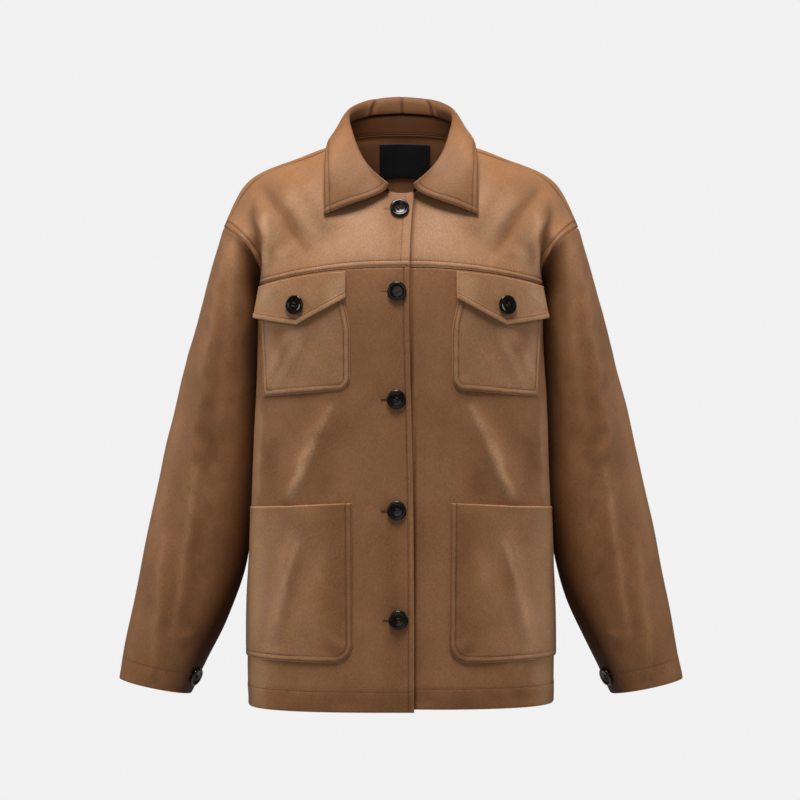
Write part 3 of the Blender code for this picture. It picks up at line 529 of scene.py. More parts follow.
@dataclass(frozen=True)
class UpperForm:
    """Form of the yokes and of the whole back: lofts between their ribs that end on the armhole."""

    cut: Cut
    neck_share_front: float = 0.52
    neck_share_back: float = 0.45
    shoulder: tuple = (
        Place(0.078, -0.018, -0.0075), Place(0.0905, -0.018, -0.0108), Place(0.123, -0.018, -0.0232),
        Place(0.162, -0.018, -0.0378), Place(0.188, -0.017, -0.0545), Place(0.2, -0.013, -0.072),
        Place(0.2165, 0.0, -0.1075),
    )
    front_armhole_places: tuple = (
        Place(0.1725, -0.06, -0.152), Place(0.183, -0.068, -0.134), Place(0.193, -0.066, -0.124),
        Place(0.205, -0.05, -0.1145), Place(0.213, -0.026, -0.109), Place(0.2165, 0.0, -0.1075),
    )
    back_armhole_places: tuple = (
        Place(0.158, 0.0, -0.197), Place(0.161, 0.026, -0.188), Place(0.168, 0.05, -0.17),
        Place(0.176, 0.067, -0.15), Place(0.187, 0.073, -0.131), Place(0.2, 0.064, -0.117),
        Place(0.209, 0.045, -0.11), Place(0.2145, 0.022, -0.1078), Place(0.2165, 0.0, -0.1075),
    )
    yoke_ribs: tuple = (
        Rib(0.0, -0.011, -0.115, -0.131, -0.013, -0.101, -0.101),
        Rib(0.2, 0.028, -0.1146, -0.13, 0.027, -0.1, -0.098),
        Rib(0.36, 0.06, -0.1115, -0.126, 0.056, -0.0945, -0.087),
        Rib(0.52, 0.091, -0.105, -0.122, 0.085, -0.086, -0.069),
        Rib(0.68, 0.12, -0.098, -0.123, 0.112, -0.082, -0.065),
        Rib(0.8, 0.143, -0.087, -0.128, 0.14, -0.074, -0.074),
        Rib(0.88, 0.162, -0.075, -0.14, 0.167, -0.067, -0.096),
        Rib(0.94, 0.167, -0.059, -0.147, 0.181, -0.059, -0.105),
        Rib(1.0, 0.1765, -0.064, -0.144, 0.202, -0.056, -0.117),
    )
    back_ribs: tuple = (
        Rib(0.0, 0.0, 0.106, -0.127, 0.0, 0.094, -0.055),
        Rib(0.25, 0.054, 0.105, -0.128, 0.047, 0.09, -0.058),
        Rib(0.45, 0.1, 0.099, -0.127, 0.09, 0.078, -0.056),
        Rib(0.6, 0.133, 0.09, -0.128, 0.12, 0.07, -0.054),
        Rib(0.75, 0.156, 0.08, -0.133, 0.148, 0.062, -0.06),
        Rib(0.88, 0.166, 0.072, -0.143, 0.176, 0.058, -0.082),
        Rib(1.0, 0.173, 0.06, -0.157, 0.2, 0.064, -0.117),
    )
    armhole_pull: float = 0.86
    rib_low: float = 1 / 3
    rib_high: float = 2 / 3
    crest_front: tuple = (0.0, 0.034, -0.022)
    crest_back: tuple = (0.0, -0.034, -0.018)
    crest_before_neck: float = 0.1
    crest_spread: float = 0.12
    neck_run: float = 0.6
    run_below: float = 0.04
    armhole_seam_rise: float = 6.0
    beneath: float = 0.02
    beneath_from: float = 0.04
    beneath_run: float = 0.06
    shoulder_seam: float = 0.005
    armhole_seam: float = 0.004
    yoke_folds: tuple = folds_of(
        (163, -66, 113, -139, 13, -3), (118, -52, 98, -100, 14, 1.2),
    )
    back_folds: tuple = folds_of(
        (128, -200, 150, -330, 26, 4), (70, -300, 96, -520, 34, 3), (110, -420, 128, -640, 30, -3),
    )

    def front_armhole(self, share: Array) -> Array:
        """Front half of the armhole, from the yoke seam to the shoulder point."""
        return along([self.underarm_row(np.ones(1))[0], *self.front_armhole_places], share)

    def back_armhole(self, share: Array) -> Array:
        """Back half of the armhole, from the underarm to the shoulder point."""
        return along(self.back_armhole_places, share)

    def underarm_row(self, share: Array) -> Array:
        """Front armhole below the yoke seam, from the underarm up."""
        distance = self.cut.reach - self.cut.armhole_return * share
        return self.cut.body.point(distance, self.cut.front_top(distance))

    def past_neck(self, share: Array) -> Array:
        """One along the shoulder seam of the back and nothing along its neck."""
        return ease((share - self.neck_share_back + self.beneath_from) / self.beneath_run)

    def top_edge(self, share: Array, neck_share: float, back: bool) -> Array:
        """Neckline, then shoulder seam.

        Args:
            share: Share from the middle to the shoulder point.
            neck_share: Share at which the neck ends.
            back: Whether it is the back's.

        Returns:
            One place a row.
        """
        neck_at = chord_shares(self.cut.neckline)[self.cut.neck_point]
        to_neck = np.clip(share / neck_share, 0, 1)
        neck = along(self.cut.neckline, between(1.0, neck_at, to_neck) if back else neck_at * to_neck)
        shoulder = along(self.shoulder, np.clip((share - neck_share) / (1 - neck_share), 0, 1))
        return np.where((share > neck_share)[:, None], shoulder, neck)

    def panel(self, share: Array, rise: Array, lower_rows: Callable, back: bool) -> Array:
        """Panel over the shoulder.

        Args:
            share: Share from the middle to the armhole.
            rise: Share from the lower edge to the top one.
            lower_rows: Gives the row below the panel and its lower edge at shares across it.
            back: Whether it is the back.

        Returns:
            Its places.
        """
        ribs = self.back_ribs if back else self.yoke_ribs
        neck_share = self.neck_share_back if back else self.neck_share_front
        armhole = self.back_armhole if back else self.front_armhole
        rises = [-self.rib_low, 0, self.rib_low, self.rib_high, 1, 1 + self.rib_low]
        crest = np.array(self.crest_back if back else self.crest_front)

        def loft(at: Array) -> Array:
            """Places before the pull onto the armhole.

            Args:
                at: Shares along the panel.

            Returns:
                One place a row.
            """
            below, bottom = lower_rows(at)
            sizes = spline_of(at, ribs)
            low, high = sizes[:, :3], sizes[:, 3:]
            top = self.top_edge(at, neck_share, back)
            over = ease((at - neck_share + self.crest_before_neck) / self.crest_spread)[:, None]
            beyond = top + over * crest + (1 - over) * (top - high) * self.neck_run
            return through(rise, rises, np.stack([below, bottom, low, high, top, beyond]))

        share = share * (1 - self.armhole_seam * np.clip(rise * self.armhole_seam_rise, 0, 1))
        rise = rise * (1 - self.shoulder_seam + back * self.beneath * self.past_neck(share))
        pull = ease((share - self.armhole_pull) / (1 - self.armhole_pull))[:, None]
        return loft(share) + pull * (armhole(rise) - loft(np.ones(len(share))))

    def yoke(self, share: Array, rise: Array, side: Side) -> Array:
        """Front yoke.

        Args:
            share: Share from the front edge to the armhole.
            rise: Share from the yoke seam to the shoulder.
            side: Side of the wearer.

        Returns:
            One place a row, on the +X side.
        """
        cut = self.cut
        edge = cut.front_edge(np.array([cut.yoke_seam]), side)[0]

        def lower_rows(at: Array) -> tuple:
            """Row below the yoke and its seam.

            Args:
                at: Shares from the front edge to the armhole.

            Returns:
                Places of the two rows.
            """
            distance = between(edge, cut.reach - cut.armhole_return, at)
            seam = cut.front_top(distance) + cut.seam / 2
            return cut.body.point(distance, seam - self.run_below), cut.body.point(distance, seam)

        place = self.panel(share, rise, lower_rows, False)
        place[:, 1] += cut.tuck(place[:, 0], side)
        return folded(place, self.yoke_folds, -1)

    def half_back(self, share: Array, rise: Array) -> Array:
        """Half of the back.

        Args:
            share: Share from the middle to the side.
            rise: From 0 at the hem to 1 at the underarm and 2 at the top.

        Returns:
            One place a row, on the +X side.
        """
        cut = self.cut
        height = between(cut.back_hem, cut.underarm, np.clip(rise, 0, 1))
        lower = cut.body.point(share * (cut.body.girth(height, True) - cut.seam / 2), height, True)
        reach = float(cut.body.girth(cut.underarm, True))

        def lower_rows(at: Array) -> tuple:
            """Row below the underarm and the row at it."""
            below = cut.body.point(at * reach, cut.underarm - self.run_below, True)
            return below, cut.body.point(at * reach, cut.underarm, True)

        upper = self.panel(share, np.clip(rise - 1, 0, 1), lower_rows, True)
        return folded(np.where((rise > 1)[:, None], upper, lower), self.back_folds, 1)

    def back(self, part: Array, rise: Array) -> Array:
        """Whole back: part goes from -1 at the wearer's right to 1 at the left."""
        return mirrored(self.half_back(np.abs(part), rise), np.where(part < 0, -1, 1))


@dataclass(frozen=True)
class SleeveForm:
    """Form of a sleeve, from the armhole down to the cuff."""

    upper: UpperForm
    rows: tuple = (
        SleeveRow(0.0, 0.189, 0.003, -0.153, 0.053, 0.07, 56),
        SleeveRow(0.16, 0.209, 0.005, -0.232, 0.0465, 0.071, 20),
        SleeveRow(0.44, 0.232, 0.005, -0.378, 0.054, 0.063, 11),
        SleeveRow(0.73, 0.256, 0.001, -0.528, 0.062, 0.053, 13),
        SleeveRow(0.9, 0.2838, -0.003, -0.616, 0.0512, 0.045, 15),
        SleeveRow(1.0, 0.2992, -0.005, -0.6645, 0.0448, 0.04, 12),
    )
    fold_start: float = 0.08
    blend: float = 0.34
    samples: int = 120
    folds: tuple = folds_of(
        (211, -114, 248, -372, 15, 3.6), (193, -183, 214, -410, 14, -2.8), (246, -378, 272, -570, 14, 3),
        (227, -378, 244, -560, 14, -3), (283, -500, 298, -640, 14, 2.6),
    )

    @cached_property
    def rings(self) -> tuple:
        """Front and back halves of the armhole as chains of places."""
        up, upper = np.linspace(0, 1, self.samples), self.upper
        front = np.concatenate([upper.front_armhole(up[::-1]), upper.underarm_row(1 - up)[1:]])
        return front, upper.back_armhole(up)

    def armhole_ring(self, turn: Array) -> Array:
        """Armhole all round.

        Args:
            turn: 0 at the shoulder point, then the front, the underarm at a half and the back.

        Returns:
            One place a row.
        """
        halves = []
        for chain, part in zip(self.rings, (turn * 2, turn * 2 - 1)):
            halves.append([np.interp(part, chord_shares(chain), column) for column in chain.T])
        return np.where(turn <= 0.5, *halves).T

    def smooth(self, turn: Array, share: Array) -> Array:
        """Sleeve without its seam gap.

        Args:
            turn: Share of the way round it.
            share: Share of its length.

        Returns:
            One place a row.
        """
        sizes = spline_of(share, self.rows)
        middle, half_width, half_depth = sizes[:, :3], sizes[:, 3], sizes[:, 4]
        tilt, angle = np.radians(sizes[:, 5]), math.tau * turn
        across = np.stack([np.cos(tilt), np.zeros(len(tilt)), np.sin(tilt)], axis=1)
        oval = middle + (half_width * np.cos(angle))[:, None] * across
        oval[:, 1] -= half_depth * np.sin(angle)
        ring = self.armhole_ring(turn % 1.0) + (middle - np.array(self.rows[0][1:4]))
        place = between(ring, oval, ease(share / self.blend)[:, None])
        forward = -np.sin(angle) * fold_height(place[:, 0], place[:, 2], self.folds)
        place[:, 1] += forward * ease(share / self.fold_start)
        return place

    def surface(self, turn: Array, share: Array) -> Array:
        """Left sleeve, whose top edge runs in beneath the yoke and the back at the armhole."""
        under = self.upper.cut.allowance / (self.rows[0].z - self.rows[-1].z)
        return self.smooth(turn, share * (1 + under) - under)


@dataclass(frozen=True)
class CollarForm:
    """Form of the stand and of the folded collar."""

    cut: Cut
    rows: tuple = (
        CollarRow(0.0, 0.0, 0.079, 0.059, 0.0, 0.093, -0.01, 0.003, 0.0),
        CollarRow(0.14, 0.033, 0.071, 0.055, 0.052, 0.084, -0.011, 0.003, 0.0),
        CollarRow(0.28, 0.0545, 0.048, 0.046, 0.078, 0.048, -0.012, 0.003, 0.0),
        CollarRow(0.42, 0.065, 0.016, 0.0335, 0.0855, 0.0, -0.0085, 0.003, 0.0),
        CollarRow(0.58, 0.0615, -0.03, 0.009, 0.0905, -0.047, -0.015, 0.0065, -0.002),
        CollarRow(0.74, 0.0535, -0.061, -0.016, 0.0918, -0.0838, -0.049, 0.0085, -0.002),
        CollarRow(0.88, 0.0375, -0.0825, -0.0425, 0.0918, -0.0972, -0.076, 0.0072, 0.0),
        CollarRow(1.0, 0.015, -0.0945, -0.063, 0.0915, -0.1042, -0.0985, 0.004, 0.0022),
    )
    wall: float = 0.0018
    stand_share: float = 0.55
    beneath: float = 0.05
    seam: float = 0.0006
    lap: float = 0.001
    roll: float = 0.0032
    knots: tuple = (0.0, 0.22, 0.3, 0.38, 0.69, 1.0)
    tangent_step: float = 0.01
    neck_axis: float = -0.02

    def neck(self, share: Array) -> Array:
        """Neck seam under the collar, from the back to the front."""
        start = chord_shares(self.cut.neckline)[self.cut.collar_start]
        return along(self.cut.neckline, 1 - (1 - start) * np.clip(share, 0, 1))

    def stations(self, share: Array) -> tuple:
        """Lines that the collar runs through.

        Args:
            share: Share from the back to the front.

        Returns:
            Neck seam, fold, edge, bulge, sag and outward normal.
        """
        sizes = spline_of(share, self.rows)
        neck, fold = self.neck(share), sizes[:, :3]
        ahead, behind = (self.neck(share + step) for step in (self.tangent_step, -self.tangent_step))
        lean = np.cross(fold - neck, ahead - behind)
        return neck, fold, sizes[:, 3:6], sizes[:, 6:7], sizes[:, 7:], unit(lean)

    def stand(self, turn: Array, rise: Array) -> Array:
        """Stand.

        Args:
            turn: From the wearer's right front end round the back to the left one.
            rise: Share of its height.

        Returns:
            One place a row.
        """
        across = turn * 2 - 1
        neck, fold = self.stations(np.abs(across))[:2]
        place = neck - UP * self.lap + (rise * (self.stand_share + self.beneath))[:, None] * (fold - neck)
        return mirrored(place, np.sign(across))

    def fall(self, turn: Array, run: Array) -> Array:
        """Folded collar.

        Args:
            turn: From the wearer's right front end round the back to the left one.
            run: Share of the way from the stand up, over the fold and down to the outer edge.

        Returns:
            One place a row.
        """
        across = turn * 2 - 1
        neck, fold, edge, bulge, sag, lean = self.stations(np.abs(across))
        out = unit((fold - np.array([0, self.neck_axis, 0])) * (1, 1, 0))
        rise = unit(fold - neck)
        seam = between(neck, fold, self.stand_share) + UP * self.cut.seam
        seam = seam + rise * self.seam - lean * self.wall
        outer = fold + lean * self.roll
        middle = (outer + edge) / 2 + out * bulge - UP * sag
        stations = np.stack([seam, fold - lean * self.roll, fold + rise * self.roll, outer, middle, edge])
        return mirrored(through(run, self.knots, stations), np.sign(across))


# ---------------------------------------------------------------- grids of cloth
@dataclass(frozen=True)
class Lines:
    """Spacing of a grid's lines in one direction: close near both ends, apart between them."""

    near_start: float = 0.0105
    near_end: float = 0.0105
    close: float = 0.0009
    apart: float = 0.004

    def targets(self, lengths: Array) -> Array:
        """Distances of the lines from the start.

        Args:
            lengths: Lengths of the cloth in this direction.

        Returns:
            One row of rising distances for each length.
        """
        near = self.near_start + self.near_end
        squeeze = np.minimum(1.0, 0.85 * lengths / max(near, 1e-6))[:, None]
        start = np.linspace(0, self.near_start, max(1, round(self.near_start / self.close) + 1))
        end = np.linspace(self.near_end, 0, max(1, round(self.near_end / self.close) + 1))
        count = max(2, round((lengths.max() - near) / self.apart))
        inner = np.linspace(0, 1, count + 1)[1:-1]
        rest = lengths[:, None] - squeeze * near
        return np.concatenate([
            squeeze * start,
            squeeze * self.near_start + inner * rest,
            lengths[:, None] - squeeze * end,
        ], axis=1)


ROUND = Lines(0.0, 0.0, 0.001, 0.0038)


@dataclass
class Weft:
    """Grid laid on a surface, with its lines at even distances from the edges.

    Args of a surface: a parameter from its start to its end edge, and one from its bottom to its top.
    """

    surface: Surface
    across: Lines = Lines()
    up: Lines = Lines()
    outward: int = 1
    samples: int = 64
    closed: bool = False
    settling: int = 5
    closing: int = 9
    first: Array = field(default=None, repr=False)
    second: Array = field(default=None, repr=False)
    points: Array = field(default=None, repr=False)
    normal: Array = field(default=None, repr=False)
    height: Array = field(default=None, repr=False)
    # painted light and shade, read by the nap's colour through the tone attribute
    tone: Array = field(default=None, repr=False)
    away: dict = field(default=None, repr=False)

    def __post_init__(self) -> None:
        """Work out the parameters, places, normals and distances of the grid."""
        even = np.linspace(0, 1, self.samples)
        rough = self.places(*np.meshgrid(even, even, indexing="ij"))
        along_first, along_second = self.lengths(rough, 0), self.lengths(rough, 1)
        firsts = np.array([np.interp(wanted, length, even) for wanted, length in zip(
            self.across.targets(along_first[-1]), along_first.T)])
        seconds = np.array([np.interp(wanted, length, even) for wanted, length in zip(
            self.up.targets(along_second[:, -1]), along_second)])
        second = np.tile(seconds.mean(axis=0), (firsts.shape[1], 1))
        for _ in range(self.settling):
            first = np.array([np.interp(row, even, firsts[:, line]) for line, row in enumerate(second)])
            second = np.array([np.interp(row, even, seconds[:, line])
                               for line, row in enumerate(first.T)]).T
        self.first, self.second = first, second
        self.points = self.places(first, second)
        self.normal = self.normals_of(self.points)
        self.height, self.tone = np.zeros(first.shape), np.zeros(first.shape)
        from_start, from_bottom = self.lengths(self.points, 0), self.lengths(self.points, 1)
        self.away = {Edge.START: from_start, Edge.END: from_start[-1:] - from_start,
                     Edge.BOTTOM: from_bottom, Edge.TOP: from_bottom[:, -1:] - from_bottom}

    def places(self, first: Array, second: Array) -> Array:
        """Places of the surface on a grid of parameters."""
        return self.surface(first.ravel(), second.ravel()).reshape(*first.shape, 3)

    @staticmethod
    def lengths(points: Array, axis: int) -> Array:
        """Length of cloth from the first line to every line."""
        steps = np.linalg.norm(np.diff(points, axis=axis), axis=2)
        return np.insert(np.cumsum(steps, axis=axis), 0, 0.0, axis=axis)

    def normals_of(self, points: Array) -> Array:
        """Outward unit normals of the grid.

        Args:
            points: Places of the grid.

        Returns:
            One normal for each.
        """
        along_first = np.gradient(points, axis=0)
        if self.closed:
            along_first[[0, -1]] = points[1] - points[-2]
        return self.outward * unit(np.cross(along_first, np.gradient(points, axis=1)))

    def raised(self) -> Array:
        """Places of the grid with the relief on it."""
        return self.points + self.normal * self.height[..., None]

    def inside(self) -> Array:
        """Distance of every place from the nearest open edge."""
        open_edges = (Edge.BOTTOM, Edge.TOP) if self.closed else tuple(Edge)
        return np.minimum.reduce([self.away[edge] for edge in open_edges])

    def tuck(self, edge: Edge, where: Array = 1.0, under: float = 0.003, deep: float = 0.0022) -> None:
        """Let an edge of the cloth run in beneath the piece that is sewn over it.

        Args:
            edge: Edge that goes under.
            where: One where it does, nothing where it stays.
            under: Length of cloth beneath the other piece.
            deep: How much deeper it lies there.
        """
        self.height -= where * deep * (1 - ease(self.away[edge] / (under + 0.002)))
        # Painted shadow of the piece over it, on the cloth near that piece's edge.
        self.tone -= where * 0.9 * (1 - ease((self.away[edge] - under) / 0.0014))

    def shade_lap(self, cut: Cut, side: Side) -> None:
        """Paint the shadow of the right front's edge on the left front where it laps over, and dent the
        cloth there.

        Args:
            cut: Pattern of the panels.
            side: Side of this piece.
        """
        if side is Side.LEFT:
            edge = cut.front_edge(self.points[..., 2].ravel(), Side.RIGHT)
            past = self.points[..., 0] + edge.reshape(self.first.shape)
            self.tone -= 1.7 * bump(past - 0.0012, 0.0019)
            self.height -= 0.0005 * bump(past, 0.004)

    def close(self) -> None:
        """Let the relief at the end line run into that of the start line of a tube."""
        share = ease(np.linspace(0, 1, self.closing))[:, None]
        for relief in (self.height, self.tone):
            relief[-self.closing:] = relief[-self.closing:] * (1 - share) + relief[:1] * share

    def sew(self, edge: Edge, seam: "Seam", where: Array = 1.0) -> None:
        """Turn an edge of the cloth under and stitch it down, where it is one."""
        self.height += where * seam.height(self.away[edge])
        self.tone += where * seam.tone(self.away[edge])

    def line(self, edge: Edge, away: float, trim: tuple = (0.0, 0.0)) -> tuple:
        """Line on the cloth at one distance from an edge.

        Args:
            edge: Edge it follows.
            away: Its distance from that edge.
            trim: Lengths left off at its two ends.

        Returns:
            Its places and normals.
        """
        fields = [self.away[edge][..., None], self.raised(), self.normal]
        if edge in (Edge.START, Edge.END):
            fields = [part.transpose(1, 0, 2) for part in fields]
        if edge in (Edge.TOP, Edge.END):
            fields = [part[:, ::-1] for part in fields]
        distance = fields[0][..., 0]
        index = np.arange(distance.shape[1])
        at = np.array([np.interp(away, row, index) for row in distance])
        low = np.minimum(at.astype(int), len(index) - 2)
        rows = np.arange(len(low))
        part = (at - low)[:, None]
        place, normal = (between(grid[rows, low], grid[rows, low + 1], part) for grid in fields[1:])
        length = run_along(place)
        keep = (length >= trim[0]) & (length <= length[-1] - trim[1])
        return place[keep], normal[keep]


@dataclass(frozen=True)
class Seam:
    """Edge of cloth that is turned under and stitched down."""

    stitches: tuple = (0.0018, 0.008)
    lift: float = 0.0006
    groove: float = 0.0005
    groove_width: float = 0.001
    rib: float = 0.0004
    rounding: float = 0.0016
    # painted shade in the stitch grooves, and a painted highlight along the edge and on the band between
    # two rows of stitches
    groove_shade: float = 0.75
    worn: float = 0.45
    drop: float = 0.0007

    def height(self, away: Array) -> Array:
        """Height of the sewn edge.

        Args:
            away: Distances from the edge.

        Returns:
            Height at each of them.
        """
        last = self.stitches[-1] if self.stitches else 0.0
        total = self.lift * (1 - ease((away - last) / 0.0016)) if last else np.zeros_like(away)
        for stitch in self.stitches:
            total = total - self.groove * bump(away - stitch, self.groove_width)
        if len(self.stitches) > 1:
            inside = (away - self.stitches[0]) / (last - self.stitches[0])
            total = total + self.rib * np.sin(math.pi * np.clip(inside, 0, 1))
        return total - self.drop * (1 - np.clip(away / self.rounding, 0, 1)) ** 2

    def tone(self, away: Array) -> Array:
        """Tone of the cloth: painted shade in the stitch grooves, painted highlight on the edge and on the
        band between two rows.

        Args:
            away: Distances from the edge.

        Returns:
            Tone at each of them.
        """
        total = self.worn * bump(away, 0.0012)
        for stitch in self.stitches:
            total = total - self.groove_shade * bump(away - stitch, self.groove_width * 1.1)
        if len(self.stitches) > 1:
            middle = sum(self.stitches[:2]) / 2
            total = total + 0.5 * self.worn * bump(away - middle, 0.0022)
        return total


CUT_EDGE = Seam(stitches=(), lift=0.0)
HEM_SEAM = Seam(stitches=(0.0245,), lift=0.0004, groove=0.00045, groove_shade=0.5)


class Pucker(NamedTuple):
    """Ripples of the cloth beside a line of stitches, shifted on each side of the wearer if sided."""

    edge: Edge
    at: float
    reach: float
    size: float
    seed: float
    sided: bool = False


def pucker(weft: Weft, row: Pucker, turn: float = 0.0) -> None:
    """Ripple the cloth beside a line of stitches.

    Args:
        weft: Grid of the cloth.
        row: The ripples.
        turn: Sign of the wearer's side.
    """
    seed = row.seed + turn * row.sided
    other = Edge.START if row.edge in (Edge.BOTTOM, Edge.TOP) else Edge.BOTTOM
    run = weft.away[other] * 1000 + seed * 37
    wave = np.sin(run / 2.3 + 1.4 * np.sin(run / 17)) * (0.55 + 0.45 * np.sin(run / 31 + seed))
    wave = wave + 0.7 * np.sin(run / 5.1 + 2 * np.sin(run / 43 + seed))
    weft.height += row.size * wave * bump(weft.away[row.edge] - row.at, row.reach)


def waver(weft: Weft, size: float, seed: float) -> None:
    """Give the cloth the slight unevenness of soft hide.

    Args:
        weft: Grid of the cloth.
        size: Height of the unevenness.
        seed: Tells one piece's from another's.
    """
    x, y, z = (weft.points[..., column] for column in range(3))
    bend = np.sin(23 * z + 3 * seed) * 0.9
    wave = np.sin(61 * x + 37 * z + seed + bend) + np.sin(44 * z - 52 * x + 19 * y + 2.1 * seed)
    wave += 0.7 * np.sin(95 * x - 33 * z + 1.7 * seed + 1.3 * bend)
    weft.height += size * wave * ease(weft.inside() / 0.012)


def laid(weft: Weft, rows: tuple, facing: int, bend: float = 1.0) -> Array:
    """Lay a table of folds over a grid.

    Args:
        weft: Grid of the cloth.
        rows: Table of the folds.
        facing: 0 for everything, -1 for the front alone, 1 for the back alone.
        bend: How much they waver.

    Returns:
        Their height over the grid.
    """
    x, z = weft.points[..., 0], weft.points[..., 2]
    wobble = bend * (0.0022 * np.sin(85 * z + 40 * x) + 0.0014 * np.sin(170 * z - 90 * x))
    height = fold_height(x + wobble, z + wobble, rows)
    return height * ease(0.5 + 1.6 * facing * weft.normal[..., 1]) if facing else height


def crease(weft: Weft, rows: tuple, facing: int = 0) -> None:
    """Press a table of creases into the cloth along its own normal, with a little painted light on the
    ridges and painted shade in the troughs.

    Args:
        weft: Grid of the cloth.
        rows: Table of the creases.
        facing: Side that they are on.
    """
    height = laid(weft, rows, facing) * (0.25 + 0.75 * ease(weft.inside() / 0.01))
    weft.height += height
    weft.tone += 60.0 * height


def paint_light_and_shade(weft: Weft, rows: tuple, facing: int = 0) -> None:
    """Paint light and shade onto the cloth in soft bands: the rise of a row is its tone."""
    weft.tone += laid(weft, rows, facing, 0.3)


@dataclass(frozen=True)
class Relief:
    """Unevenness, creases, bands of painted light and shade, seams and puckers of one piece of cloth."""

    uneven: float
    seed: float
    sewn: tuple = ()
    puckers: tuple = ()
    creases: tuple = ()
    # bands of painted light and shade
    streaks: tuple = ()
    back_creases: tuple = ()
    facing: int = 0

    def press(self, weft: Weft, turn: float = 0.0) -> None:
        """Press it into the cloth.

        Args:
            weft: Grid of the cloth.
            turn: Sign of the wearer's side.
        """
        waver(weft, self.uneven, self.seed + turn)
        crease(weft, self.creases, self.facing)
        crease(weft, self.back_creases, -self.facing)
        paint_light_and_shade(weft, self.streaks, self.facing)
        for edge, seam in self.sewn:
            weft.sew(edge, seam)
        for row in self.puckers:
            pucker(weft, row, turn)


# ---------------------------------------------------------------- making pieces
def link(name: str, mesh: bpy.types.Mesh, *materials: bpy.types.Material) -> bpy.types.Object:
    """Object of a mesh with its finishes, in the scene.

    Args:
        name: Name of the object.
        mesh: Mesh, curve, lamp or camera that it shows.
        materials: Its finishes.

    Returns:
        The object.
    """
    piece = bpy.data.objects.new(name, mesh)
    bpy.context.scene.collection.objects.link(piece)
    for material in materials:
        mesh.materials.append(material)
    return piece


def finish_piece(piece: bpy.types.Object, slot: str, *nodes: str) -> None:
    """Let a piece ride on the jacket, hide the solids that it stands for and log its faces.

    Args:
        piece: Piece that is ready.
        slot: Not used.
        nodes: Solids that it stands for.
    """
    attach(piece, BODY_NAME)
    if nodes:
        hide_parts(*nodes)
    log.info("%s: %d faces", piece.name, len(piece.data.polygons) if piece.type == "MESH" else 0)


@dataclass(frozen=True)
class Flat:
    """Size and area that a sheet was cut to."""

    width: float
    length: float
    area: float


def cloth_mesh(name: str, weft: Weft, shift: float, sign: float) -> bpy.types.Mesh:
    """Mesh of a grid of cloth, with its own flat map and its tone.

    Args:
        name: Name of the mesh.
        weft: Grid of the cloth.
        shift: Where the piece starts on the hide, so that no two show the same marks.
        sign: Sign of x.

    Returns:
        The mesh.
    """
    counts = np.array(weft.first.shape) - 1
    grid = bmesh.new()
    bmesh.ops.create_grid(grid, x_segments=int(counts[0]), y_segments=int(counts[1]), size=0.5)
    mesh = bpy.data.meshes.new(name)
    grid.to_mesh(mesh)
    grid.free()
    flat = np.empty(len(mesh.vertices) * 3)
    mesh.vertices.foreach_get("co", flat)
    cell = tuple(np.rint((flat.reshape(-1, 3)[:, :2] + 0.5) * counts).astype(int).T)
    mesh.vertices.foreach_set("co", mirrored(weft.raised()[cell], sign).ravel())
    tone = mesh.attributes.new("tone", "FLOAT", "POINT")
    tone.data.foreach_set("value", weft.tone[cell])
    corner = np.empty(len(mesh.loops), dtype=np.int32)
    mesh.loops.foreach_get("vertex_index", corner)
    across, high = weft.away[Edge.START][cell] + shift, weft.away[Edge.BOTTOM][cell] + HIDE_RISE * shift
    hide = mesh.uv_layers.new(name="hide")
    hide.data.foreach_set("uv", np.stack([across[corner], high[corner]], axis=1).ravel())
    grid = bmesh.new()
    grid.from_mesh(mesh)
    if weft.closed:
        bmesh.ops.remove_doubles(grid, verts=grid.verts, dist=MERGE)
    if weft.outward * sign < 0:
        bmesh.ops.reverse_faces(grid, faces=grid.faces)
    grid.to_mesh(mesh)
    grid.free()
    mesh.shade_smooth()
    return mesh


@dataclass
class Cloth:
    """One cut piece of hide, as a thin shell on its solid's form, with the stitches over it."""

    name: str
    weft: Weft
    flat: Flat
    held: Held
    rests_on: tuple
    wall: float = 0.0018
    sign: float = 1.0
    shift: float = 0.0
    slot: str = "suede"
    faces: tuple = ("nap", "reverse")
    pitch: float = 0.0036

    def build(self, finishes: "Finishes", *rows: tuple) -> None:
        """Make the piece, with its wall on the inner side, and its stitches.

        Args:
            finishes: Every finish of the jacket.
            rows: Places and normals of the cloth along each row of stitches.
        """
        mesh = cloth_mesh(self.name, self.weft, self.shift, self.sign)
        piece = link(self.name + "_cloth", mesh, *(getattr(finishes, face) for face in self.faces))
        solid = piece.modifiers.new("wall", "SOLIDIFY")
        solid.thickness = self.wall
        solid.offset = -1
        solid.use_even_offset = False
        solid.material_offset = len(self.faces) - 1
        finish_piece(piece, self.slot, self.name)
        [name + "_cloth" for name in self.rests_on]
        sewing = Stitching("stitches_" + self.name, self.pitch)
        for places, facing in rows:
            sewing.row(places, facing, self.sign)
        if rows:
            sewing.build(finishes.thread)


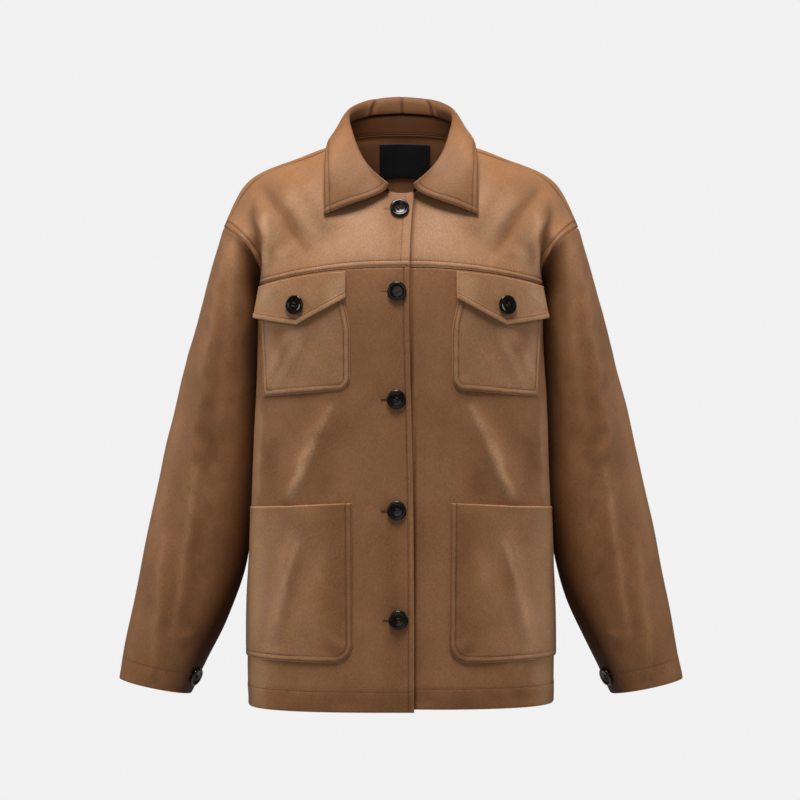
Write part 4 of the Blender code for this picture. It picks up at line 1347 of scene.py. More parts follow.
@dataclass
class Stitching:
    """Row after row of stitches over one part of the jacket."""

    name: str
    pitch: float = 0.0036
    share: float = 0.68
    radius: float = 0.00036
    proud: float = 0.00026
    sunk: float = 0.00022
    stitches: list = field(default_factory=list)

    def row(self, places: Array, facing: Array, sign: float = 1.0) -> None:
        """Sew one row.

        Args:
            places: Chain of places that the thread follows.
            facing: Normals of the cloth at them.
            sign: Sign of x.
        """
        length = run_along(places)
        starts = np.arange(0, length[-1] - self.pitch, self.pitch)
        for part, lift in ((0.0, -self.sunk), (0.5, self.proud), (1.0, -self.sunk)):
            at = starts + part * self.share * self.pitch
            place, normal = (np.stack([np.interp(at, length, column) for column in grid.T], axis=1)
                             for grid in (places, facing))
            self.stitches.append(mirrored(place + normal * lift, sign))

    def build(self, material: bpy.types.Material) -> None:
        """Make all the rows as one piece.

        Args:
            material: Finish of the thread.
        """
        curve = thread_curve(self.name, self.radius, 0)
        for ends in zip(self.stitches[::3], self.stitches[1::3], self.stitches[2::3]):
            for stitch in np.stack(ends, axis=1):
                lay_thread(curve, stitch)
        finish_piece(turn_to_mesh(self.name, curve, material), "suede")


def thread_curve(name: str, radius: float, rounds: int) -> bpy.types.Curve:
    """Empty curve of a thread.

    Args:
        name: Name of the curve.
        radius: Radius of the thread.
        rounds: How finely it is rounded.

    Returns:
        The curve.
    """
    curve = bpy.data.curves.new(name, "CURVE")
    curve.dimensions = "3D"
    curve.bevel_depth = radius
    curve.bevel_resolution = rounds
    return curve


def lay_thread(curve: bpy.types.Curve, places: Array) -> None:
    """Add one length of thread to a curve.

    Args:
        curve: Curve of the thread.
        places: Places along it.
    """
    line = curve.splines.new("POLY")
    line.points.add(len(places) - 1)
    line.points.foreach_set("co", np.concatenate([places, np.ones((len(places), 1))], axis=1).ravel())


def evaluated_mesh(piece: bpy.types.Object) -> bpy.types.Mesh:
    """New mesh of a piece with its modifiers, or of a curve with its roundness."""
    bpy.context.view_layer.update()
    return bpy.data.meshes.new_from_object(piece.evaluated_get(bpy.context.evaluated_depsgraph_get()))


def turn_to_mesh(name: str, curve: bpy.types.Curve, material: bpy.types.Material) -> bpy.types.Object:
    """Piece with the mesh of a curve.

    Args:
        name: Name of the piece.
        curve: Curve that it is made from.
        material: Its finish.

    Returns:
        The piece.
    """
    shape = link(name + "_line", curve)
    mesh = evaluated_mesh(shape)
    bpy.data.objects.remove(shape, do_unlink=True)
    mesh.name = name
    mesh.materials.clear()
    mesh.shade_smooth()
    return link(name, mesh, material)


# ---------------------------------------------------------------- finishes
class Nodes:
    """Shorthand for wiring shader nodes."""

    def __init__(self, tree: bpy.types.NodeTree) -> None:
        """Keep the tree that the nodes go into."""
        self.tree = tree

    def feed(self, socket: bpy.types.NodeSocket, value: object) -> None:
        """Give an input its link or its value.

        Args:
            socket: The input.
            value: Output that feeds it, or a plain value.
        """
        if isinstance(value, bpy.types.NodeSocket):
            self.tree.links.new(value, socket)
        else:
            socket.default_value = value

    def fill(self, node: bpy.types.Node, **inputs: object) -> None:
        """Feed inputs by their names, with underscores for spaces."""
        for name, value in inputs.items():
            self.feed(node.inputs[name.replace("_", " ")], value)

    def add(self, kind: str, **settings: object) -> bpy.types.Node:
        """New node of a kind, with its settings and its inputs' values or links.

        Args:
            kind: Type of the node.
            settings: Attributes of the node, or inputs by name with underscores for spaces.

        Returns:
            The node.
        """
        node = self.tree.nodes.new(kind)
        for key, value in settings.items():
            if hasattr(node, key):
                setattr(node, key, value)
            else:
                self.fill(node, **{key: value})
        return node

    def math(self, operation: str, first: object, second: object = 0.0, clamp: bool = False) -> object:
        """Output of a math node.

        Args:
            operation: What it works out.
            first: First value or link.
            second: Second value or link.
            clamp: Whether the result stays between nothing and one.

        Returns:
            The output.
        """
        node = self.add("ShaderNodeMath", operation=operation, use_clamp=clamp)
        for socket, value in zip(node.inputs, (first, second)):
            self.feed(socket, value)
        return node.outputs[0]

    def mix(self, factor: object, first: object, second: object, kind: str = "MIX") -> object:
        """Output of a colour mix.

        Args:
            factor: Share of the second colour.
            first: First colour.
            second: Second colour.
            kind: How they are mixed.

        Returns:
            The output.
        """
        node = self.add("ShaderNodeMix", data_type="RGBA", blend_type=kind)
        used = [socket for socket in node.inputs if socket.enabled]
        for socket, value in zip(used, (factor, first, second)):
            self.feed(socket, value)
        return next(socket for socket in node.outputs if socket.enabled)

    def noise(self, vector: object, scale: float, detail: float, rough: float = 0.5,
              twist: float = 0.0) -> object:
        """Factor of a noise.

        Args:
            vector: Where it is read.
            scale: How fine it is.
            detail: Number of finer layers.
            rough: Strength of each finer layer.
            twist: How much it is distorted.

        Returns:
            The output.
        """
        return self.add("ShaderNodeTexNoise", Vector=vector, Scale=scale, Detail=detail, Roughness=rough,
                        Distortion=twist).outputs[0]

    def spread(self, value: object, low: float, high: float, to_low: float, to_high: float) -> object:
        """Value carried smoothly from one range to another.

        Args:
            value: What is carried.
            low: Start of the first range.
            high: End of the first range.
            to_low: Start of the second range.
            to_high: End of the second range.

        Returns:
            The output.
        """
        return self.add("ShaderNodeMapRange", interpolation_type="SMOOTHSTEP", Value=value, From_Min=low,
                        From_Max=high, To_Min=to_low, To_Max=to_high).outputs[0]


def new_group(name: str, inputs: dict, outputs: tuple) -> tuple:
    """Shader node group with named sockets.

    Args:
        name: Name of the group.
        inputs: Kind and default of each input by name.
        outputs: Name and kind of each output.

    Returns:
        The group, its wiring, its input node and its output node.
    """
    group = bpy.data.node_groups.new(name, "ShaderNodeTree")
    for key, (kind, default) in inputs.items():
        socket = group.interface.new_socket(name=key, in_out="INPUT", socket_type=kind)
        if default is not None:
            socket.default_value = default
    for key, kind in outputs:
        group.interface.new_socket(name=key, in_out="OUTPUT", socket_type=kind)
    wires = Nodes(group)
    return group, wires, group.nodes.new("NodeGroupInput"), group.nodes.new("NodeGroupOutput")


def nap_group() -> bpy.types.NodeTree:
    """Group that gives the mottled colour and the height of napped hide, with the painted light and shade
    of its Tone: paler where lit, deeper where shaded.
    """
    group, wires, given, result = new_group("napped_hide", {
        "Flat": ("NodeSocketVector", None),
        "Light": ("NodeSocketColor", (0.5, 0.3, 0.2, 1)),
        "Dark": ("NodeSocketColor", (0.2, 0.1, 0.05, 1)),
        "Blotch": ("NodeSocketFloat", 1.0),
        "Streak": ("NodeSocketFloat", 1.0),
        "Grain": ("NodeSocketFloat", 1.0),
        "Tone": ("NodeSocketFloat", 0.0),
    }, (("Color", "NodeSocketColor"), ("Height", "NodeSocketFloat")))

    def times(first: object, second: object) -> object:
        """Product."""
        return wires.math("MULTIPLY", first, second)

    flat = given.outputs["Flat"]
    stretch = wires.add("ShaderNodeMapping", Vector=flat, Scale=(1.0, 0.72, 1.0), Rotation=(0, 0, 0.35))
    blotch = wires.noise(flat, 15.0, 2.0, 0.5, 0.4)
    cloud = wires.noise(stretch.outputs[0], 62.0, 3.0, 0.6, 0.6)
    streak = wires.noise(stretch.outputs[0], 430.0, 3.0, 0.66, 0.3)
    grain = wires.noise(flat, 1150.0, 2.0, 0.6)
    total = times(wires.math("SUBTRACT", blotch, 0.5), given.outputs["Blotch"])
    for part, amount, weight in ((cloud, "Blotch", 0.85), (streak, "Streak", 0.9), (grain, "Grain", 0.9)):
        swing = times(wires.math("SUBTRACT", part, 0.5), given.outputs[amount])
        total = wires.math("ADD", total, times(swing, weight))
    total = wires.math("ADD", total, 0.5, True)
    color = wires.mix(total, given.outputs["Dark"], given.outputs["Light"])
    lit = wires.math("ADD", times(given.outputs["Tone"], 0.34), 1.0)
    lit = wires.math("MINIMUM", wires.math("MAXIMUM", lit, 0.12), 1.85)
    bright = wires.math("MINIMUM", wires.math("MAXIMUM", lit, 1.0), 1.22)
    dark = wires.math("MINIMUM", lit, 1.0)
    green, blue = (times(times(lit, wires.math("POWER", dark, low)), wires.math("POWER", bright, high))
                   for low, high in ((0.2, 0.7), (0.55, 1.55)))
    shade = wires.add("ShaderNodeCombineColor", Red=lit, Green=green, Blue=blue)
    wires.fill(result, Color=wires.mix(1.0, color, shade.outputs[0], "MULTIPLY"),
               Height=wires.math("ADD", times(grain, 0.55), times(streak, 0.8)))
    return group


def new_material(name: str) -> tuple:
    """Empty Principled material.

    Args:
        name: Name of the material.

    Returns:
        The material, its wiring and its shader.
    """
    material = bpy.data.materials.new(name)
    material.use_nodes = True
    return material, Nodes(material.node_tree), material.node_tree.nodes["Principled BSDF"]


@dataclass(frozen=True)
class Suede:
    """Napped brown hide."""

    name: str = "suede"
    light: tuple = (0.475, 0.23, 0.103, 1.0)
    dark: tuple = (0.225, 0.096, 0.037, 1.0)
    blotch: float = 0.42
    streak: float = 1.0
    grain: float = 0.95
    roughness: float = 0.58
    gloss: float = 0.24
    sheen: float = 0.06
    sheen_tint: tuple = (0.85, 0.62, 0.44, 1.0)
    sheen_roughness: float = 0.45
    bump: float = 0.5
    depth: float = 0.0005

    def make(self, group: bpy.types.NodeTree) -> bpy.types.Material:
        """Material of this hide.

        Args:
            group: Node group of the nap.

        Returns:
            The material.
        """
        material, wires, shader = new_material(self.name)
        flat = wires.add("ShaderNodeUVMap", uv_map="hide")
        # The tone attribute holds the painted light and shade of the cloth.
        tone = wires.add("ShaderNodeAttribute", attribute_name="tone")
        nap = wires.add("ShaderNodeGroup", node_tree=group, Flat=flat.outputs[0], Light=self.light,
                        Dark=self.dark, Blotch=self.blotch, Streak=self.streak, Grain=self.grain,
                        Tone=tone.outputs["Fac"])
        raised = wires.add("ShaderNodeBump", Strength=self.bump, Distance=self.depth,
                           Height=nap.outputs["Height"])
        wires.fill(shader, Base_Color=nap.outputs["Color"], Roughness=self.roughness,
                   Specular_IOR_Level=self.gloss, Sheen_Weight=self.sheen,
                   Sheen_Roughness=self.sheen_roughness, Sheen_Tint=self.sheen_tint,
                   Normal=raised.outputs[0])
        return material


@dataclass(frozen=True)
class Thread:
    """Sewing thread, matched to the hide."""

    name: str = "thread"
    color: tuple = (0.15, 0.072, 0.036, 1.0)
    dark: tuple = (0.085, 0.04, 0.02, 1.0)

    def make(self) -> bpy.types.Material:
        """Material of the thread."""
        material, wires, shader = new_material(self.name)
        place = wires.add("ShaderNodeTexCoord")
        uneven = wires.noise(place.outputs["Object"], 420.0, 2.0)
        wires.fill(shader, Base_Color=wires.mix(uneven, self.dark, self.color), Roughness=0.7,
                   Specular_IOR_Level=0.25, Sheen_Weight=0.2)
        return material


@dataclass(frozen=True)
class Horn:
    """Polished dark horn of the buttons."""

    name: str = "horn"
    dark: tuple = (0.003, 0.002, 0.0013, 1.0)
    light: tuple = (0.022, 0.012, 0.006, 1.0)

    def make(self) -> bpy.types.Material:
        """Material of the horn."""
        material, wires, shader = new_material(self.name)
        place = wires.add("ShaderNodeTexCoord")
        bent = wires.add("ShaderNodeMapping", Vector=place.outputs["Object"], Scale=(1.0, 1.0, 0.35))
        cloud = wires.noise(bent.outputs[0], 190.0, 4.0, 0.6, 1.8)
        fleck = wires.noise(place.outputs["Object"], 900.0, 2.0)
        mottled = wires.spread(cloud, 0.42, 0.72, 0.0, 1.0)
        scratched = wires.add("ShaderNodeBump", Strength=0.06, Distance=0.0002, Height=fleck)
        wires.fill(shader, Base_Color=wires.mix(mottled, self.dark, self.light), Specular_IOR_Level=0.4,
                   Roughness=wires.spread(fleck, 0.3, 0.75, 0.11, 0.18), Normal=scratched.outputs[0])
        return material


@dataclass(frozen=True)
class LabelWeave:
    """Black woven tape of the bare neck label."""

    name: str = "label_weave"
    dark: tuple = (0.0022, 0.0024, 0.0028, 1.0)
    light: tuple = (0.0085, 0.0088, 0.0096, 1.0)
    warp: float = 2300.0
    weft: float = 1700.0

    def make(self) -> bpy.types.Material:
        """Material of the label."""
        material, wires, shader = new_material(self.name)
        flat = wires.add("ShaderNodeUVMap", uv_map="hide")
        split = wires.add("ShaderNodeSeparateXYZ", Vector=flat.outputs[0])
        across, up = (wires.math("SINE", wires.math("MULTIPLY", part, threads * math.pi))
                      for part, threads in zip(split.outputs, (self.warp, self.weft)))
        woven = wires.math("MULTIPLY", wires.math("MULTIPLY", across, up), 0.5)
        woven = wires.math("ADD", woven, 0.5)
        factor = wires.math("MULTIPLY", woven, wires.noise(flat.outputs[0], 300.0, 2.0), True)
        raised = wires.add("ShaderNodeBump", Strength=0.5, Distance=0.0003, Height=woven)
        wires.fill(shader, Base_Color=wires.mix(factor, self.dark, self.light), Roughness=0.62,
                   Specular_IOR_Level=0.35, Sheen_Weight=0.1, Normal=raised.outputs[0])
        return material


@dataclass
class Finishes:
    """Every finish of the jacket, made once."""

    nap: bpy.types.Material
    reverse: bpy.types.Material
    thread: bpy.types.Material
    horn: bpy.types.Material
    label: bpy.types.Material
    slit: bpy.types.Material
    dark_thread: bpy.types.Material

    @classmethod
    def make(cls) -> "Finishes":
        """Build the materials."""
        group = nap_group()
        return cls(
            nap=Suede().make(group),
            reverse=Suede("hide_back", (0.42, 0.195, 0.088, 1), (0.24, 0.1, 0.042, 1), blotch=0.35,
                          streak=0.4, sheen=0.0, gloss=0.1).make(group),
            thread=Thread().make(),
            horn=Horn().make(),
            label=LabelWeave().make(),
            slit=Thread("buttonhole_thread", (0.24, 0.118, 0.06, 1), (0.11, 0.052, 0.026, 1)).make(),
            dark_thread=Thread("button_thread", (0.06, 0.034, 0.02, 1), (0.03, 0.016, 0.01, 1)).make())


# ---------------------------------------------------------------- sub-assemblies
@dataclass
class Forms:
    """Every form of the jacket, from one cut."""

    cut: Cut = Cut()
    front: FrontForm = None
    upper: UpperForm = None
    sleeve: SleeveForm = None
    collar: CollarForm = None

    def __post_init__(self) -> None:
        """Work the forms out from the cut."""
        self.front = FrontForm(self.cut)
        self.upper = UpperForm(self.cut)
        self.sleeve = SleeveForm(self.upper)
        self.collar = CollarForm(self.cut)


@dataclass
class Assembly:
    """Part of the jacket, made on the forms with the finishes."""

    forms: Forms
    finishes: Finishes


@dataclass
class Back(Assembly):
    """Back of the jacket in one piece."""

    flat: Flat = Flat(0.52, 0.72, 0.3396)
    across: Lines = Lines(0.0105, 0.0105, 0.0012)
    up: Lines = Lines(0.027, 0.0105, 0.0013)
    neck_shade: float = 2.4
    neck_reach: float = 0.005
    relief: Relief = Relief(
        0.0003, 1.0, ((Edge.BOTTOM, HEM_SEAM),), (Pucker(Edge.BOTTOM, 0.0245, 0.007, 0.00022, 2.0),),
        creases=folds_of(
            (30, -190, 75, -300, 16, 1.4), (-40, -200, -90, -330, 18, -1.4),
            (140, -230, 80, -265, 12, -1.6), (-135, -250, -70, -290, 13, -1.4),
            (-20, -520, 30, -660, 18, 1.2)),
    )

    def build(self) -> None:
        """Make the back and its stitching."""
        upper, stitch = self.forms.upper, HEM_SEAM.stitches[0]
        weft = Weft(lambda first, second: upper.back(2 * first - 1, 2 * second), self.across, self.up, -1,
                    samples=96)
        self.relief.press(weft)
        shoulder = upper.past_neck(np.abs(2 * weft.first - 1))
        weft.tone -= self.neck_shade * (1 - shoulder) * bump(weft.away[Edge.TOP], self.neck_reach)
        weft.tuck(Edge.TOP, shoulder)
        Cloth("back", weft, self.flat, Held.HUNG, ("front_left", "front_right"),
              shift=0.3).build(self.finishes, weft.line(Edge.BOTTOM, stitch, (0.004, 0.004)))


@dataclass
class SidePiece(Assembly):
    """Piece of one side of the wearer."""

    side: Side

    def cloth(self, name: str, weft: Weft, rests_on: tuple, shift: float, rows: list,
              held: Held = Held.HUNG, **sizes: float) -> None:
        """Make the piece and its stitching.

        Args:
            name: Name of the piece, without its side.
            weft: Grid of the cloth.
            rests_on: Names of the pieces that it rests on.
            shift: Where the piece starts on the hide.
            rows: Places and normals along each row of stitches.
            held: How the piece is held.
            sizes: Its wall and the pitch of its stitches.
        """
        Cloth(name + "_" + self.side.word, weft, self.flat, held, rests_on, sign=self.side.value,
              shift=shift, **sizes).build(self.finishes, *rows)


@dataclass
class Front(SidePiece):
    """Lower front of one side, with the buttonholes on the wearer's right one."""

    flat: Flat = Flat(0.27, 0.526, 0.1387)
    across: Lines = Lines(0.0105, 0.006, 0.0009)
    up: Lines = Lines(0.027, 0.0105, 0.0012)
    edge_seam: Seam = Seam(stitches=(0.0066,), rib=0.0, lift=0.0005)
    hole_length: float = 0.0195
    pull_width: float = 2.4
    relief: Relief = Relief(
        0.00035, 2.0, ((Edge.START, edge_seam), (Edge.BOTTOM, HEM_SEAM)),
        (Pucker(Edge.BOTTOM, 0.0245, 0.008, 0.00032, 3.0, True),
         Pucker(Edge.START, 0.0066, 0.006, 0.00014, 5.0)),
        creases=folds_of(
            (86, -326, 136, -434, 4.5, 1.7), (20, -250, 46, -330, 9, 0.6), (150, -350, 172, -425, 7, 0.8),
            (18, -395, 34, -470, 8, 0.5), (30, -500, 42, -590, 10, -0.5), (36, -640, 52, -672, 8, 0.7),
            (120, -650, 135, -676, 8, -0.6)),
        streaks=light_and_shade_of(
            (82.6, -324, 132.2, -429, 3.2, 1.4), (108, -372, 131, -434, 6.4, 1.1),
            (156, -356, 152, -434, 12, -0.5), (168, -320, 170, -430, 3.5, 0.9),
            (85, -400, 95, -432, 15, -0.6), (180, -230, 179, -445, 6.5, 2.6),
            (178, -590, 174, -690, 18, 1.6), (12, -450, 4, -660, 16, -0.6)),
    )

    def press_buttonholes(self, weft: Weft) -> None:
        """Dent the cloth around the buttonholes and under the buttons.

        Args:
            weft: Grid of the cloth.
        """
        x, z = weft.points[..., 0], weft.points[..., 2]
        for button_x, height in self.forms.cut.buttons:
            past = np.clip(x, -button_x, -button_x + self.hole_length)
            off = np.hypot(x - past, z - height)
            pull = np.hypot((x + button_x) / self.pull_width, z - height)
            weft.height -= 0.0004 * bump(off, 0.0016) + 0.0005 * bump(pull, 0.011)
            # Painted shade in the dent of each buttonhole.
            weft.tone -= 0.7 * bump(off, 0.0009)

    def build(self) -> None:
        """Make the front and its stitching."""
        side, cut = self.side, self.forms.cut
        edge_stitch, hem_stitch = self.edge_seam.stitches[0], HEM_SEAM.stitches[0]
        weft = Weft(partial(self.forms.front.surface, side=side), self.across, self.up, samples=96)
        self.relief.press(weft, side.value)
        weft.tuck(Edge.TOP)
        weft.shade_lap(cut, side)
        # Painted shade: the whole front a little darker, and darker still towards the hem.
        weft.tone -= 0.25 + 0.6 * (1 - ease((weft.away[Edge.BOTTOM] - 0.014) / 0.02))
        if side is Side.RIGHT:
            self.press_buttonholes(weft)
        self.cloth("front", weft, ("yoke_" + side.word,), 0.9 + 0.8 * side.value, [
            weft.line(Edge.START, edge_stitch, (hem_stitch, 0.001)),
            weft.line(Edge.BOTTOM, hem_stitch, (edge_stitch, 0.004))])


@dataclass
class Yoke(SidePiece):
    """Front yoke of one side."""

    flat: Flat = Flat(0.25, 0.185, 0.0347)
    across: Lines = Lines(0.0115, 0.01, 0.001, 0.0034)
    up: Lines = Lines(0.0105, 0.0045, 0.0009, 0.0034)
    seam: Seam = Seam(stitches=(0.0018, 0.0082), lift=0.0003, rib=0.0002, worn=0.7, drop=0.0004)
    armhole: Seam = Seam(stitches=(0.0078,), lift=0.0, groove=0.0002, worn=0.0, groove_shade=0.3, drop=0.0005)
    edge: Seam = Seam(stitches=(0.0105,), rib=0.0, lift=0.0002, groove=0.0003, groove_shade=0.3)
    shoulder: Seam = Seam(stitches=(0.012,), lift=0.0003, groove_shade=1.6)
    relief: Relief = Relief(
        0.00028, 4.0, ((Edge.BOTTOM, seam), (Edge.END, armhole), (Edge.START, edge)),
        (Pucker(Edge.BOTTOM, 0.0084, 0.006, 0.00016, 1.0, True),
         Pucker(Edge.END, 0.008, 0.005, 0.00012, 7.0, True)),
        creases=folds_of(
            (166, -62, 138, -98, 6, -1.4), (140, -92, 112, -142, 7, -1.2), (128, -92, 100, -136, 9, 0.8),
            (180, -74, 165.5, -116, 6, 1.4), (165.5, -110, 160, -164, 6, 1.6),
            (179, -126, 172.5, -162, 5.5, -2.2), (106, -60, 88, -118, 10, 0.6),
            (60, -110, 100, -140, 10, -0.6), (30, -100, 44, -150, 10, 0.6), (118, -135, 150, -150, 8, 0.7)),
        streaks=light_and_shade_of(
            (130, -70, 104, -124, 12, 1), (156, -112, 140, -156, 10, 0.6),
            (162, -96, 161.5, -168, 4.5, 1.2), (177, -80, 171.5, -130, 5.5, -1.1),
            (163, -66, 113, -139, 5.5, -0.8), (9.5, -70, 9.5, -150, 10, -0.5)),
    )

    def build(self) -> None:
        """Make the yoke and its stitching."""
        side = self.side
        weft = Weft(partial(self.forms.upper.yoke, side=side), self.across, self.up, samples=80)
        self.relief.press(weft, side.value)
        weft.sew(Edge.TOP, self.shoulder, ease((weft.first - 0.5) / 0.08))
        x, z, armhole = weft.points[..., 0], weft.points[..., 2], weft.away[Edge.END]
        # Painted pool of light on the lower middle of the yoke.
        weft.tone += 0.75 * bump(x - 0.052, 0.055) * bump(z + 0.13, 0.05)
        # Painted shade towards the top of the yoke.
        weft.tone -= 0.3 * ease((z + 0.09) / 0.04)
        # Painted shade along the armhole edge and on its row of stitches.
        weft.tone -= 0.35 * bump(armhole, 0.0016) + 0.55 * (1 - ease((armhole - 0.0064) / 0.0014))
        weft.tone -= 1.1 * bump(armhole - 0.0076, 0.0011)
        weft.shade_lap(self.forms.cut, side)
        rows = [weft.line(Edge.BOTTOM, away, (0.002, 0.002)) for away in self.seam.stitches]
        rows.append(weft.line(Edge.END, self.armhole.stitches[0], (0.0084, 0.002)))
        rows.append(weft.line(Edge.START, self.edge.stitches[0], (0.0084, 0.001)))
        self.cloth("yoke", weft, ("back",), 2.9 + 0.7 * side.value, rows)


@dataclass
class Sleeve(SidePiece):
    """Sleeve of one side."""

    flat: Flat = Flat(0.396, 0.566, 0.1904)
    up: Lines = Lines(0.0085, 0.0285, 0.0011)
    hem: Seam = Seam(stitches=(0.026,), lift=0.0001, groove=0.0002, groove_shade=0.15)
    relief: Relief = Relief(
        0.0004, 5.0, ((Edge.TOP, hem),), (Pucker(Edge.TOP, 0.026, 0.008, 0.0003, 9.0, True),), facing=-1,
        creases=folds_of(
            (211.5, -118, 249, -380, 5.5, 1.6), (196, -130, 228, -420, 9, -1.2),
            (186, -200, 202, -400, 7, 0.8), (247, -366, 273, -585, 5.5, 1.3),
            (228, -360, 254, -600, 9, -1.6), (216, -380, 238, -560, 6, 0.9),
            (284, -480, 300, -648, 8, 1.2), (266, -500, 286, -645, 8, -1.2),
            (250, -596, 262, -606, 5, 1.8), (256, -610, 268, -622, 4, -1.4),
            (240, -140, 268, -340, 10, -1)),
        streaks=light_and_shade_of(
            (182, -126, 170, -200, 13, -1.9), (216, -150, 240, -300, 10, 0.1),
            (201, -125, 207.5, -245, 7, 0.9), (207.5, -245, 220, -350, 8, 0.7),
            (258, -270, 304, -500, 10, 0.6), (240, -380, 242, -440, 12, 0.5),
            (246, -400, 274, -600, 4.5, 0.9), (286, -480, 300, -640, 5, 0.5)),
        back_creases=folds_of(
            (200, -170, 216, -270, 10, 1.8), (240, -180, 252, -290, 12, -1.6),
            (216, -330, 262, -372, 9, 1.8), (210, -378, 250, -402, 8, -1.8),
            (236, -430, 270, -540, 11, 1.4), (264, -560, 296, -630, 10, -1.6)),
    )

    def build(self) -> None:
        """Make the sleeve and its stitching."""
        side, stitch = self.side, self.hem.stitches[0]
        weft = Weft(self.forms.sleeve.surface, ROUND, self.up, samples=96, closed=True)
        self.relief.press(weft, side.value)
        weft.tuck(Edge.BOTTOM)
        # Painted shade: the whole sleeve a little darker, and much darker on its inner side towards the
        # body, most of all low down.
        inner = bump(weft.first - 0.47, 0.12) * (0.25 + 0.75 * ease((weft.second - 0.35) / 0.3))
        weft.tone -= 0.6 + 2.1 * inner * (1 + 0.4 * ease((weft.second - 0.68) / 0.2))
        weft.close()
        self.cloth("sleeve", weft, ("yoke_" + side.word, "back"), 5.2 + 0.9 * side.value,
                   [weft.line(Edge.TOP, stitch)])


@dataclass
class Collar(Assembly):
    """Stand and folded collar."""

    stand_flat: Flat = Flat(0.525, 0.027, 0.0081)
    fall_flat: Flat = Flat(0.6, 0.099, 0.0419)
    seam: Seam = Seam(stitches=(0.002, 0.0085), lift=0.0003, rib=0.00015, groove=0.0004)
    hidden: Seam = Seam(stitches=(0.002,), lift=0.0, groove=0.0002, worn=0.0, groove_shade=0.4, drop=0.0001)
    relief: Relief = Relief(
        0.00022, 3.3, ((Edge.TOP, seam), (Edge.BOTTOM, hidden)),
        tuple(Pucker(edge, 0.0085, 0.006, 0.00012, 4.0) for edge in (Edge.START, Edge.END, Edge.TOP)),
        creases=folds_of(
            (31, 56, 45, 16, 4, -1.4), (44, 44, 54, 20, 6, 0.8), (-31, 56, -45, 16, 4, -1.4),
            (78, -30, 86, -70, 7, -0.6), (-78, -30, -86, -70, 7, -0.6), (40, -40, 70, -78, 8, 0.6),
            (-40, -40, -70, -78, 8, 0.6)),
        streaks=light_and_shade_of(
            (33, 56, 44, 16, 1.6, -1.4), (-33, 56, -44, 16, 1.6, -1.4), (37, 56, 48, 16, 2.6, 0.6),
            (-37, 56, -48, 16, 2.6, 0.6), (70, 5, 84, -40, 8, 0.4), (-70, 5, -84, -40, 8, 0.4)),
    )

    def build(self) -> None:
        """Make both pieces and their stitching."""
        stand = Weft(self.forms.collar.stand, Lines(0.004, 0.004, 0.001, 0.0035),
                     Lines(0.003, 0.003, 0.001, 0.0022), samples=72)
        # Painted shade: the stand, deep inside the neck, much darker, and given the duller finish of the
        # hide's back.
        stand.tone -= 2.3
        for edge in (Edge.TOP, Edge.BOTTOM):
            stand.sew(edge, self.hidden)
        Cloth("collar_stand", stand, self.stand_flat, Held.HUNG,
              ("back", "yoke_left", "yoke_right"), 0.0016, shift=7.1,
              faces=("reverse",)).build(self.finishes)
        fall = Weft(self.forms.collar.fall, Lines(0.0115, 0.0115, 0.0009, 0.0032),
                    Lines(0.036, 0.011, 0.001, 0.003), samples=110)
        self.relief.press(fall)
        outside = ease((fall.second - 0.3) / 0.1)
        inset, row_in = self.seam.stitches[1], self.hidden.stitches[0]
        for edge in (Edge.START, Edge.END):
            fall.sew(edge, self.seam, outside)
        # Painted shade: the whole fall darker, its inside part more, with a dark line down the middle seam
        # of its inside.
        middle_seam = (1 - outside) * bump(fall.points[..., 0] - 0.001, 0.0011)
        fall.tone -= 0.75 + (1 - outside) * 0.5 + middle_seam
        fall.height -= 0.0006 * middle_seam
        Cloth("collar_fall", fall, self.fall_flat, Held.FOLDED, ("collar_stand",), 0.0016,
              shift=8.3).build(self.finishes)
        sewing = Stitching("stitches_collar", pitch=0.0033)
        for away in self.seam.stitches:
            sewing.row(*fall.line(Edge.TOP, away, (away, away)))
            for edge in (Edge.START, Edge.END):
                sewing.row(*fall.line(edge, away, (inset + 0.006, away)))
        sewing.row(*fall.line(Edge.BOTTOM, row_in, (0.004, 0.004)))
        sewing.row(*stand.line(Edge.BOTTOM, row_in, (0.003, 0.003)))
        sewing.build(self.finishes.thread)


@dataclass(frozen=True)
class Patch:
    """Outline of a patch pocket, in distance along the front's cloth and height."""

    inner: float
    span: float
    top_inner: float
    top_outer: float
    bottom_inner: float
    bottom_outer: float
    corner: float
    creases: tuple
    # bands of painted light and shade
    streaks: tuple

    def share(self, distance: Array) -> Array:
        """Rough share of the way from the inner edge to the outer one."""
        return np.clip((distance - self.inner) / self.span, 0, 1)

    def rise(self, height: Array) -> Array:
        """Share of the way up the inner edge."""
        return (height - self.bottom_inner) / (self.top_inner - self.bottom_inner)

    def bottom(self, distance: Array) -> Array:
        """Height of the lower edge."""
        return between(self.bottom_inner, self.bottom_outer, self.share(distance))

    def upper(self, distance: Array) -> Array:
        """Height of the upper edge."""
        return between(self.top_inner, self.top_outer, self.share(distance))

    def gape(self, distance: Array, height: Array) -> Array:
        """How far the pocket stands off."""
        return np.zeros(np.shape(distance))


